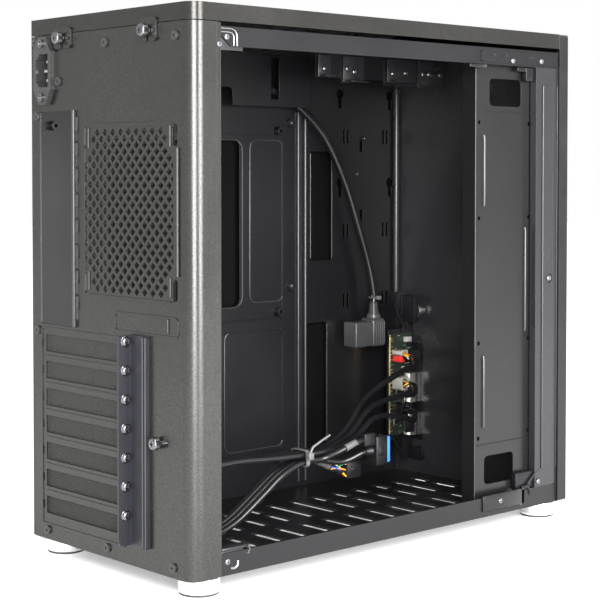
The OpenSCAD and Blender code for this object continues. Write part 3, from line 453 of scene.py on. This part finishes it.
def make_rear_edges():
    """Folded bead and tabs beside the connector opening, the pad's rolled edges and the bracket's hem, in a
    lighter paint than the sheet: a painted highlight.
    """
    shape = bmesh.new()
    swept(shape, [(39.9, REAR + 1.0, 175), (39.9, REAR + 1.2, 176.5), (39.9, REAR + 1.2, 331.5), (39.9,
            REAR + 1.0, 333)], 1.5, 12)
    for k in range(TABS):
        low = TAB_BOTTOM + TAB_PITCH * k
        block(shape, (35.5, REAR - 0.4, low), (38.4, REAR + 1.3, low + TAB_H), 0.5)
    for y_shift, x, low, high in ((1.0, -82.9, 217.6, 304.6), (1.0, -75.0, 305.4, 319.6), (1.0, -75.0,
            203.4, 216.6),
                                  (1.0, 20.9, 305.4, 319.6), (1.0, 20.9, 203.4, 216.6)):
        swept(shape, [(x, REAR + y_shift, low), (x, REAR + y_shift, high)], 0.85, 10)
    for x in (-49.0, -45.8):
        swept(shape, [(x, REAR + 3.0, 27.6), (x, REAR + 3.0, 173.9)], 0.8, 10)
    swept(shape, [(-71.3, REAR + 0.4, 178.8), (-71.3, REAR + 0.4, 188.0)], 0.7, 10)
    finished("rear_edges", shape, painted_highlight_edge_paint)


def make_slot_meshes():
    """The slot plates: a frame, a fine expanded mesh in each window and the screw tongue."""
    for k in range(7):
        middle = TOP_SLOT - SLOT_PITCH * k
        shape = bmesh.new()
        y0, y1 = REAR - 2.5, REAR - 1.5
        left, right, low, high = -13.0, 79.0, middle - 6.5, middle + 6.5
        block(shape, (-28.0, y0, middle - 9), (left, y1, middle + 9), 0.15, 1)
        block(shape, (right, y0, middle - 9), (81.0, y1, middle + 9), 0.15, 1)
        block(shape, (left, y0, middle - 9), (right, y1, low), 0.15, 1)
        block(shape, (left, y0, high), (right, y1, middle + 9), 0.15, 1)
        block(shape, (-28.3, y0, middle - 5), (-27.1, REAR + 11, middle + 13.5), 0.4)
        for lean in (1, -1):
            start = left - (high - low)
            while start < right:
                a, b = start, start + (high - low)
                t0, t1 = max(0.0, (left - a) / (b - a)), min(1.0, (right - a) / (b - a))
                if t1 - t0 > 0.05:
                    z_from = low if lean > 0 else high
                    rise = (high - low) * lean
                    p = (a + (b - a) * t0, z_from + rise * t0)
                    q = (a + (b - a) * t1, z_from + rise * t1)
                    depth = REAR - 1.8 - (0.25 if lean > 0 else 0.0)
                    half = LATTICE_HALF
                    corners = [(p[0] - half, p[1]), (p[0] + half, p[1]), (q[0] + half, q[1]),
                            (q[0] - half, q[1])]
                    front = [shape.verts.new((x, depth, z)) for x, z in corners]
                    back = [shape.verts.new((x, depth - 0.5, z)) for x, z in corners]
                    shape.faces.new(front)
                    shape.faces.new(list(reversed(back)))
                    for n in range(4):
                        shape.faces.new((front[n], back[n], back[(n + 1) % 4], front[(n + 1) % 4]))
                start += LATTICE_PITCH
        finished("slot_mesh_%d" % (k + 1), shape, mesh_paint, ["slot_cover_%d" % (k + 1)])


def make_thumb_screws():
    """Knurled thumbscrews with a cross recess, each on its own turning body."""
    for node, rides, x, z, seat in (("cover_screw_1", "cover_screw_1", 53.5, 386.0, 196.1),
                                    ("cover_screw_2", "cover_screw_2", -51.0, 385.0, 196.1),
                                    ("slot_lock_screw", "lock_screw", -61.0, 102.5, 194.3)):
        shape = bmesh.new()
        turned(shape, [(0, -9.0), (1.2, -9.0), (1.7, -8.4), (1.7, 0.1), (0, 0.1)], (x, seat, z), (0, 1,
                0), 24)
        headed(shape, [(3.6, 0.0, 0), (3.9, 0.3, 0), (3.9, 1.3, 0), (4.1, 1.5, 1), (4.5, 1.9, 1), (4.5,
                5.4, 1),
                       (4.2, 6.2, 1), (3.5, 6.6, 0), (2.9, 6.7,
                               0)], (x, seat, z), (0, 1, 0), 1.9, 0.5, 1.2, 48, 0.35)
        finished(node + "_knurled", shape, black_nickel, [node], rides)


def make_slot_screws():
    """The seven pan-head screws along the slot bracket."""
    shape = bmesh.new()
    for k in range(7):
        z = SLOT_SCREW - SLOT_PITCH * k
        at = (-29.8, REAR + 6, z)
        turned(shape, [(0, -4.0), (1.6, -4.0), (1.6, 0.1), (0, 0.1)], at, (-1, 0, 0), 16)
        headed(shape, [(3.9, 0.0, 0), (4.0, 0.35, 0), (4.0, 0.7, 0), (3.5, 0.9, 0), (3.6, 1.2, 0), (3.3,
                2.0, 0),
                       (2.6, 2.6, 0), (2.1, 2.75, 0)], at, (-1, 0, 0), 1.7, 0.45, 1.2, 28)
    finished("slot_screw_heads", shape, black_nickel, ["slot_screws"])


def make_feet():
    """Turned feet with a rounded shoulder and a shallow groove, each over its rubber pad."""
    for n, (x, y) in enumerate(((-81, 175.5), (81, 175.5), (-81, -187.5), (81, -187.5))):
        shape = bmesh.new()
        turned(shape, [(2.0, 12.0), (13.9, 12.0), (14.4, 11.5), (14.5, 10.9), (14.5, 4.6), (14.2, 4.3),
                (14.2, 3.9),
                       (14.5, 3.6), (14.5, 2.4), (14.0, 1.6), (6.4, 1.5), (6.0, 1.9), (6.0, 9.0), (2.0,
                               9.0), (2.0, 12.0)],
               (x, y, 0), (0, 0, 1), 64)
        finished("turned_foot_%d" % (n + 1), shape, foot_metal, ["foot_%d" % (n + 1)])
        shape = bmesh.new()
        turned(shape, [(6.0, 1.5), (6.0, 0.3), (6.3, 0.0), (13.4, 0.0), (13.9, 0.4), (13.9, 1.5), (6.0,
                1.5)], (x, y, 0), (0, 0, 1), 48)
        finished("foot_pad_%d" % (n + 1), shape, rubber, ["pad_%d" % (n + 1)])


# ---------- inside sheets ----------
def make_panel_painted_shade():
    """A thin, near-black sheet inside the far side panel, darker and duller than the black inner paint:
    painted shade, so that the tray's openings look dark.
    """
    shape = bmesh.new()
    block(shape, (95.55, -193.0, 14.4), (95.78, 190.5, 387.0), 0)
    finished("panel_painted_shade", shape, painted_shade_black, (), "side_panel")


def make_tray_beads():
    """Rolled ridges, stamped outlines and rivets on the board tray, painted much lighter than the black tray
    as a painted highlight.
    """
    shape = bmesh.new()
    x = TRAY
    for y, r in ((-71.2, 1.1), (-79.4, 1.2)):
        swept(shape, [(x, y, 18), (x - 0.3, y, 20), (x - 0.3, y, 338), (x, y, 340)], r, 10)
    swept(shape, loop_on_tray(-53.5, -16.0, 177, 315, 7, x), 0.7, 8, closed=True)
    swept(shape, loop_on_tray(-53.5, 12.0, 52, 153.5, 7, x), 0.7, 8, closed=True)
    swept(shape, loop_on_tray(-7.4, 140.0, 174, 315, 9, x - 0.2), 0.9, 8, closed=True)
    for y, low, high in ((-111.4, 212, 304), (-85.6, 212, 304), (-105.4, 40, 154)):
        swept(shape, [(x, y, low), (x, y, high)], 0.45, 8)
    for y, z in ((-61.6, 330.3), (-61.6, 189.4), (-150, 318), (-141, 286)):
        turned(shape, [(0, 3.6), (0.9, 3.5), (1.6, 3.0), (1.9, 2.2), (1.9, 0), (0, 0)], (x, y, z), (-1,
                0, 0), 20)
    finished("tray_beads", shape, painted_highlight_bead_paint)
    # the front corner bead, in the lighter edge paint: a painted highlight
    shape = bmesh.new()
    swept(shape, [(87.4, -190.6, 178), (87.2, -190.4, 181), (87.2, -190.4, 362), (87.4, -190.6, 364)],
            2.6, 14)
    finished("corner_bead", shape, painted_highlight_edge_paint)


def make_side_edges():
    """Rolled lines of the front column and of the drive panel, on the open side, painted lighter than their
    sheets as a painted highlight.
    """
    shape = bmesh.new()
    for y, r, x in ((-175.6, 0.55, -95.6), (-188.1, 0.35, -95.6), (-194.4, 0.3, -95.3)):
        swept(shape, [(x, y, 42), (x, y, 359)], r, 10)
    for y, low, high in ((-110.2, 260.6, 317.4), (-110.2, 82.6, 140.4), (-161.3, 157.2, 242.4)):
        swept(shape, [(-88.3, y, low), (-88.9, y, low + 3), (-88.9, y, high - 3), (-88.3, y, high)], 1.0,
                10)
    swept(shape, [(-88.1, -100.3, 16), (-88.1, -100.3, 370)], 0.35, 10)
    finished("side_edges", shape, painted_highlight_edge_paint)


def pan_head(shape, at, along, size=1.0):
    headed(shape, [(r * size, h * size, 0) for r, h in ((3.0, 0), (3.0, 0.5), (2.8, 1.2), (2.3, 1.8),
            (1.9, 2.0))],
           at, along, 1.5 * size, 0.4 * size, 0.9 * size, 24)


def make_side_hardware():
    """Screws, hooks and clips at the corners of the open side."""
    shape = bmesh.new()
    for y, z, x in ((161.8, 379.8, -94.4), (161.8, 21.4, -94.4), (168.0, 374.6, -93.6), (-136.6, 377.4,
            -95.2), (-172.5, 378.6, -95.2),
                    (-123.0, 22.6, -95.2), (-171.0, 32.0, -95.2), (-183.4, 200.0, -95.2)):
        pan_head(shape, (x, y, z), (-1, 0, 0), 0.75)
    for x, shift in ((-94.6, 0.0), (-94.6, 3.0)):
        swept(shape, [(x, 166.5, 385.6 - shift * 0.8), (x, 157.6 + shift, 385.6 - shift * 0.8), (x,
                154.2 + shift * 0.9, 384.4 - shift * 0.6),
                      (x, 152.6 + shift, 381.6 - shift * 0.3), (x, 152.5 + shift, 374.0)], 0.6, 10)
    swept(shape, [(-94.6, 159.0, 16.6), (-94.8, 155.5, 16.2), (-94.8, 153.0, 17.8), (-94.6, 152.4,
            21.0)], 1.1, 10)
    swept(shape, [(-95.2, -149.4, 16.0), (-95.2, -149.4, 28.5)], 0.9, 10)
    finished("side_hardware", shape, zinc, ["frame_screws"])
    shape = bmesh.new()
    for base, up in ((387.0 - 1.2, -1), (14.0, 1)):
        low, high = min(base, base + up * 15), max(base, base + up * 15)
        block(shape, (-93.8, 146.5, low), (-92.6, 172.0, high), 0.4)
    block(shape, (-94.2, 141.0, 28.6), (-86.0, 166.0, 30.6), 0.6)
    swept(shape, [(-94.0, 143.5, 29.6), (-94.2, 141.6, 27.6), (-94.2, 142.6, 24.6), (-94.2, 145.4,
            24.4)], 1.2, 10)
    finished("corner_plates", shape, front_paint, ["corner_bracket_top",
            "corner_bracket_bottom"])
    shape = bmesh.new()
    block(shape, (-93.6, -166.6, 27.8), (-88.9, -145.0, 41.5), 0.8)
    swept(shape, [(-94.6, -150.0, 29.0), (-95.0, -157.0, 30.0), (-95.2, -160.0, 27.0), (-95.0, -160.6,
            22.5)], 1.9, 10, end_radius=0.9)
    swept(shape, [(-94.6, -158.0, 31.0), (-94.6, -164.0, 36.0), (-94.4, -172.6, 42.5)], 1.6, 10,
            end_radius=0.8)
    finished("catch_bottom", shape, black_plastic, ["panel_catch_bottom"])
    shape = bmesh.new()
    block(shape, (-93.6, -166.6, 362.0), (-88.9, -156.0, 373.3), 0.8)
    block(shape, (-93.0, -160.6, 369.6), (-88.9, -146.0, 373.3), 0.6)
    finished("catch_top", shape, inner_paint, ["panel_catch_top"])
    shape = bmesh.new()
    block(shape, (-96.4, -149.6, 16.4), (-95.0, -101.6, 29.2), 0.6)
    block(shape, (-96.3, -104.0, 370.6), (-95.0, -84.0, 373.0), 0.5)
    for y in (-112.0, -126.0, -158.0):
        block(shape, (-96.5, y - 3.0, 380.6), (-95.9, y + 3.0, 381.8), 0.2)
    finished("rail_plates", shape, panel_paint)


def make_hanger():
    """Angle plates, tabs and screws of the rail under the top."""
    shape = bmesh.new()
    for y0, y1, low in ((-183.0, -150.0, 361.0), (-148.0, -112.0, 364.5), (-84.0, -60.0, 362.5), (-46.0,
            -31.5, 366.0)):
        block(shape, (21.6, y0, low), (22.6, y1, 384.0), 0.3)
        block(shape, (14.0, y0 + 2, low), (22.6, y1 - 2, low + 1.2), 0.3)
    for y in (-178.0, -156.0, -120.0):
        swept(shape, [(21.2, y, 362.0), (19.0, y, 360.6), (16.0, y, 361.0)], 0.9, 8)
    finished("hanger_plates", shape, front_paint)
    shape = bmesh.new()
    for y, z in ((-177.5, 372.8), (-163.0, 372.8), (-155.5, 372.8), (-133.5, 372.8), (-118.0, 372.0),
            (-72.0, 371.5), (-64.0, 374.0), (-38.0, 372.8)):
        pan_head(shape, (21.5, y, z), (-1, 0, 0), 0.8)
    finished("hanger_screw_heads", shape, zinc, ["hanger_screws"])


# ---------- mains plug ----------
def make_mains_plug():
    """The right-angle appliance plug: its body, ribbed grip, collar and ribbed strain relief."""
    shape = bmesh.new()
    x, y, z = 77.0, -151.0, 157.0
    block(shape, (x - 8.4, y + 8.0, z - 24.5), (x + 8.4, y + 30.0, z - 2.0), 1.6, 3)
    block(shape, (x - 8.5, y - 7.0, z - 25.0), (x + 8.5, y + 9.0, z), 2.4, 3)
    for k in range(6):
        block(shape, (x - 8.9, y - 6.0 + 2.4 * k, z - 23.0), (x - 8.0, y - 4.8 + 2.4 * k, z - 3.0), 0.3)
    turned(shape, [(0, 0), (6.6, 0), (6.9, 0.8), (6.2, 3.6), (5.2, 4.2), (0, 4.2)], (x, y, z - 0.2), (0,
            0, 1), 28)
    ribs = [(0, 3.6)]
    for k in range(5):
        low, r = 3.8 + 2.0 * k, 5.0 - 0.24 * k
        ribs += [(r, low), (r, low + 1.1), (r - 0.8, low + 1.3), (r - 0.8, low + 1.9)]
    ribs += [(3.9, 13.8), (3.7, 14.0), (0, 14.0)]
    turned(shape, ribs, (x, y, z), (0, 0, 1), 28)
    finished("mains_plug", shape, plug_grey, ["ac_plug"])
    shape = bmesh.new()
    band = [(x + 4.1 * math.cos(math.radians(20 * k)), y + 4.1 * math.sin(math.radians(20 * k)),
            z + 18.3) for k in range(18)]
    swept(shape, band, 0.75, 8, closed=True)
    block(shape, (x - 8.0, y - 2.1, z + 16.6), (x - 4.2, y + 2.1, z + 20.0), 0.5)
    swept(shape, [(x - 6.0, y + 2.0, z + 18.3), (x - 6.2, y + 6.0, z + 19.0), (x - 6.6, y + 9.0,
            z + 20.6)], 0.6, 8)
    finished("mains_tie", shape, tie_nylon, ["lead_tie"])


# ---------- front board ----------
def make_board():
    """The port board, with chips and connectors on its open side. Its small parts are scattered at random."""
    chance = random.Random(7)
    shape = bmesh.new()
    block(shape, (68.0, -191.5, 50.0), (69.6, -163.0, 142.0), 0.2, 1)
    finished("port_board", shape, board_green, ["io_board"])
    shape = bmesh.new()
    block(shape, (67.8, -163.4, 51.0), (69.8, -162.7, 141.2), 0.15, 1)
    for k in range(22):
        z = 54 + k * 4 + chance.uniform(-1, 1)
        block(shape, (67.75, -166.6, z), (68.05, -164.2, z + 1.0), 0)
    finished("board_gold", shape, gold)
    chips, metal = bmesh.new(), bmesh.new()
    for y, z, w, h, t in ((-189, 128.5, 7, 7, 1.4), (-187, 109, 6, 5, 1.2), (-176, 84, 5, 7, 1.4), (-188,
            58, 6, 6, 1.4), (-173, 60, 5, 4, 1.2)):
        block(chips, (68.0 - t, y, z), (68.0, y + w, z + h), 0.25, 1)
        for k in range(4):
            block(metal, (67.5, y + 0.8 + 1.4 * k, z - 0.9), (67.9, y + 1.2 + 1.4 * k, z + h + 0.9), 0)
    for k in range(46):
        y, z = chance.uniform(-190, -167), chance.uniform(52, 140)
        block(metal if k % 2 else chips, (67.3, y, z), (68.0, y + 1.6, z + 0.9), 0.1, 1)
    finished("board_chips", chips, black_plastic)
    finished("board_parts", metal, nickel)
    cased, pale, red = bmesh.new(), bmesh.new(), bmesh.new()
    for z in (74, 98, 122):
        low, high = (z - 6, z + 6) if z != 122 else (z + 1.0, z + 6)
        white = cased if z == 74 else pale
        for y0, y1, x0 in ((-174, -172.8, 56), (-167.2, -166, 56), (-172.8, -167.2, 60)):
            block(white, (x0, y0, low), (68, y1, high), 0.25)
        for end in (low, high - 1.0):
            block(white, (56, -174, end), (68, -166, end + 1.0), 0.2)
    block(pale, (64.0, -187.0, 134.0), (68.0, -180.0, 138.5), 0.4)
    block(red, (58.0, -172.0, 117.0), (68, -166.5, 122.6), 0.5)
    finished("pale_headers", pale, off_white, ["board_headers"])
    finished("black_header", cased, black_plastic)
    finished("red_headers", red, red_plastic)
    shape = bmesh.new()
    for z0, z1 in ((49.0, 69.0), (79.0, 106.0)):
        block(shape, (60.8, -205.0, z0), (61.4, -181.5, z1), 0.15, 1)
        block(shape, (67.4, -205.0, z0), (68.0, -181.5, z1), 0.15, 1)
        for z in (z0, z1 - 0.6):
            block(shape, (60.8, -205.0, z), (68.0, -181.5, z + 0.6), 0.15, 1)
        block(shape, (60.8, -186.6, z0), (68.0, -186.0, z1), 0.15, 1)
        for k in range(3):
            block(shape, (60.4, -184.6, z0 + 3 + 5.5 * k), (60.9, -182.2, z0 + 6 + 5.5 * k), 0.2, 1)
    finished("usb_shells", shape, nickel, ["usb_port_1", "usb_port_2"])
    shape = bmesh.new()
    block(shape, (69.6, -193.5, 26.0), (72.6, -181.5, 176.0), 0.8)
    block(shape, (69.6, -181.5, 46.0), (72.6, -163.0, 146.0), 0.6)
    block(shape, (54.0, -193.5, 26.0), (69.6, -190.5, 38.0), 0.8)
    block(shape, (54.0, -184.3, 152.0), (69.6, -180.0, 176.0), 0.8)
    block(shape, (69.6, -181.6, 152.0), (72.6, -180.0, 176.0), 0.5)
    for low, high, reach in ((28.0, 47.0, -168.0), (145.0, 170.0, -170.0)):
        swept(shape, [(71.0, -187.0, low), (70.4, -176.0, (low + high) / 2), (69.0, reach, high)], 2.2,
                10, end_radius=1.4)
    block(shape, (58.0, -186.0, 84.0), (60.6, -174.6, 96.0), 0.5)
    block(shape, (57.0, -184.0, 53.0), (60.6, -174.0, 66.0), 0.5)
    finished("board_holder", shape, black_plastic, ["io_bracket"])


def small_wires(name, starts, ends, bulge):
    """Short coloured wires between two rows of points, each bowed a little on its way."""
    for n, (a, b) in enumerate(zip(starts, ends)):
        a, b = Vector(a), Vector(b)
        middle = (a + b) / 2 + Vector(bulge[n % len(bulge)])
        path = [(1 - t) ** 2 * a + 2 * t * (1 - t) * middle + t * t * b for t in (k / 8 for k in range(9))]
        shape = bmesh.new()
        swept(shape, path, 0.62, 8)
        finished("%s_%d" % (name, n + 1), shape, wire_colours[n % len(wire_colours)])


def make_plugs():
    """The plugs at the ends of the three tied cables, with their boots and coloured wires."""
    x, y, z = -18.0, -52.0, 62.0
    shape = bmesh.new()
    block(shape, (x - 8, y - 12, z - 12), (x + 8, y, z + 12), 1.2, 3)
    block(shape, (x - 7.2, y - 13.4, z - 11), (x + 7.2, y - 11.0, z + 11), 0.5)
    block(shape, (x - 8.4, y - 8.0, z - 4), (x - 7.6, y - 2.0, z + 4), 0.3)
    turned(shape, [(0, 0), (3.2, 0), (3.4, 1.0), (4.6, 5.0), (5.0, 6.5), (0, 6.5)], (x, y + 6.0,
            z - 0.6), (0, -1, 0), 24)
    finished("usb_plug_body", shape, black_plastic, ["usb_plug"])
    shape = bmesh.new()
    block(shape, (x - 6.6, y - 17.0, z - 10.5), (x + 6.6, y - 13.3, z + 10.5), 0.6)
    finished("usb_plug_insert", shape, blue_plastic)
    x, y, z = -26.0, -36.0, 73.0
    shape = bmesh.new()
    block(shape, (x - 2.6, y - 12, z - 5), (x + 2.6, y, z + 5), 0.5)
    for k in range(5):
        block(shape, (x - 2.75, y - 9.5, z - 4.2 + 1.8 * k), (x - 2.5, y - 6.5, z - 3.2 + 1.8 * k), 0.1, 1)
    finished("audio_plug_body", shape, black_plastic, ["audio_plug"])
    shape = bmesh.new()
    swept(shape, [(-24.6, -18.0, 68.6), (-25.4, -23.0, 70.4), (-26.0, -27.0, 72.0), (-26.0, -31.0,
            72.6)], 2.9, 12, end_radius=2.6)
    finished("audio_sleeve", shape, sleeve_grey)
    x, y, z = -6.0, -36.0, 46.0
    shape = bmesh.new()
    block(shape, (x - 2.8, y - 15, z - 6.6), (x + 2.8, y, z + 6.6), 0.4)
    for k in range(5):
        for side in (-1.3, 1.3):
            block(shape, (x + side - 0.8, y - 0.1, k * 2.54 + z - 5.9), (x + side + 0.8, y + 0.7,
                    k * 2.54 + z - 4.3), 0.15, 1)
    block(shape, (x - 3.2, y - 10.0, z - 2.0), (x - 2.7, y - 4.0, z + 2.0), 0.2)
    finished("panel_plug_body", shape, black_plastic, ["panel_plug"])
    shape = bmesh.new()
    swept(shape, [(-4.9, -6.0, 57.2), (-5.0, -12.0, 54.8), (-5.3, -18.0, 51.6)], 3.1, 12, end_radius=2.9)
    finished("panel_sleeve", shape, sleeve_grey)
    starts = [(-5.4 + 2.7 * math.cos(k * 0.785), -18.5, 51.4 + 2.7 * math.sin(k * 0.785)) for k in range(8)]
    ends = [(x + (-1.3 if k % 2 else 1.3), y,
            z - 5.1 + 2.54 * (k // 2 + (1 if k > 5 else 0))) for k in range(8)]
    small_wires("panel_wire", starts, ends, [(-2.6, 1.0, 2.5), (-3.4, 0, 1.0), (-2.0, 0, 3.6), (1.5, 0,
            2.2), (-3.8, 0, -0.6)])
    for row, z in ((1, 98.0), (2, 122.0)):
        starts = [(49.0 + 0.8 * (k % 2), -169.8 + 1.9 * math.sin(k),
                z + 2.0 * math.cos(k)) for k in range(7)]
        ends = [(57.2, -170.0 + (1.4 if k % 2 else -1.4),
                (z - 4.8 + 1.5 * k) if row == 1 else (z + 1.8 + 0.6 * k)) for k in range(7)]
        small_wires("header_wire_%d" % row, starts, ends, [(-1.5, 3.4, 2.0), (-1.0, 4.4, 0.5), (-2.2,
                3.0, -1.8), (0.5, 4.8, 1.0)])


def make_bundle_tie():
    """The nylon tie round the six strands: its band, its head and its cut tail."""
    shape = bmesh.new()
    y = 17.5
    low, high = (-18.5 - 0.7, 58.5 - 0.7), (-2.3 + 0.7, 69.1 + 0.7)
    band = []
    for cx, cz, start in ((high[0] - 2.6, high[1] - 2.6, 0), (low[0] + 2.6, high[1] - 2.6, 90),
            (low[0] + 2.6, low[1] + 2.6, 180), (high[0] - 2.6, low[1] + 2.6, 270)):
        for k in range(5):
            turn = math.radians(start + 22.5 * k)
            band.append((cx + 2.6 * math.cos(turn), cz + 2.6 * math.sin(turn)))
    rings = []
    for x, z in band:
        out = (Vector((x, z)) - Vector(((low[0] + high[0]) / 2, (low[1] + high[1]) / 2))).normalized() * 0.9
        rings.append([shape.verts.new(p) for p in ((x, y - 1.8, z), (x, y + 1.8, z), (x + out.x, y + 1.7,
                z + out.y), (x + out.x, y - 1.7, z + out.y))])
    for a, b in zip(rings, rings[1:] + rings[:1]):
        for k in range(4):
            shape.faces.new((a[k], a[(k + 1) % 4], b[(k + 1) % 4], b[k]))
    block(shape, (-23.9, y - 2.7, 63.4), (-19.2, y + 2.7, 69.0), 0.6)
    swept(shape, [(-21.6, y, 68.0), (-21.8, y - 3.0, 73.0), (-22.0, y - 12.0, 77.0), (-22.0, y - 21.0,
            80.5)], 0.95, 8)
    finished("bundle_band", shape, tie_nylon, ["bundle_tie"])


make_rear_edges()
make_slot_meshes()
make_thumb_screws()
make_slot_screws()
make_feet()
make_panel_painted_shade()
make_tray_beads()
make_side_edges()
make_side_hardware()
make_hanger()
make_mains_plug()
make_board()
make_plugs()
make_bundle_tie()


# ---------- stage and light ----------
def make_stage():
    mesh = bpy.data.meshes.new("floor")
    shape = bmesh.new()
    bmesh.ops.create_grid(shape, x_segments=1, y_segments=1, size=6)
    shape.to_mesh(mesh)
    shape.free()
    floor = bpy.data.objects.new("floor", mesh)
    scene.collection.objects.link(floor)
    made, nodes, links, shader = new_material("floor_paper")
    place = object_coordinates(nodes)
    slow = noise(nodes, links, place, 2.0)
    links.new(ramp(nodes, links, slow, [(0.3, (0.86, 0.86, 0.86)), (0.7, (0.88, 0.88, 0.88))]),
            shader.inputs["Base Color"])
    shader.inputs["Roughness"].default_value = 0.9
    shader.inputs["Emission Color"].default_value = (1, 1, 1, 1)
    shader.inputs["Emission Strength"].default_value = 0.3
    mesh.materials.append(made)
    world = bpy.data.worlds.new("world")
    world.use_nodes = True
    world.node_tree.nodes["Background"].inputs["Color"].default_value = (1, 1, 1, 1)
    world.node_tree.nodes["Background"].inputs["Strength"].default_value = 1.0
    scene.world = world


def area_light(name, at, to, size, power, size_y=None):
    data = bpy.data.lights.new(name, "AREA")
    data.energy = power
    data.size = size
    if size_y:
        data.shape = "RECTANGLE"
        data.size_y = size_y
    made = bpy.data.objects.new(name, data)
    made.location = at
    made.rotation_mode = "QUATERNION"
    made.rotation_quaternion = (Vector(to) - Vector(at)).to_track_quat("-Z", "Y")
    scene.collection.objects.link(made)


make_stage()
centre = Vector((0, 0, 0.22))


def softbox(name, azimuth, distance, height, width, tall, radiance):
    """A tall soft light that faces the tower, at an angle from +X toward +Y."""
    turn = math.radians(azimuth)
    at = centre + Vector((distance * math.cos(turn), distance * math.sin(turn), height))
    area_light(name, at, centre, width, radiance * math.pi * width * tall, tall)


softbox("camera_box", 142, 2.0, 0.40, 0.85, 1.7, 21)
softbox("side_box", 187, 2.0, 0.35, 0.80, 1.7, 19)
softbox("front_box", 262, 1.8, 0.30, 0.3, 1.6, 12)
scene.view_settings.view_transform = "Standard"
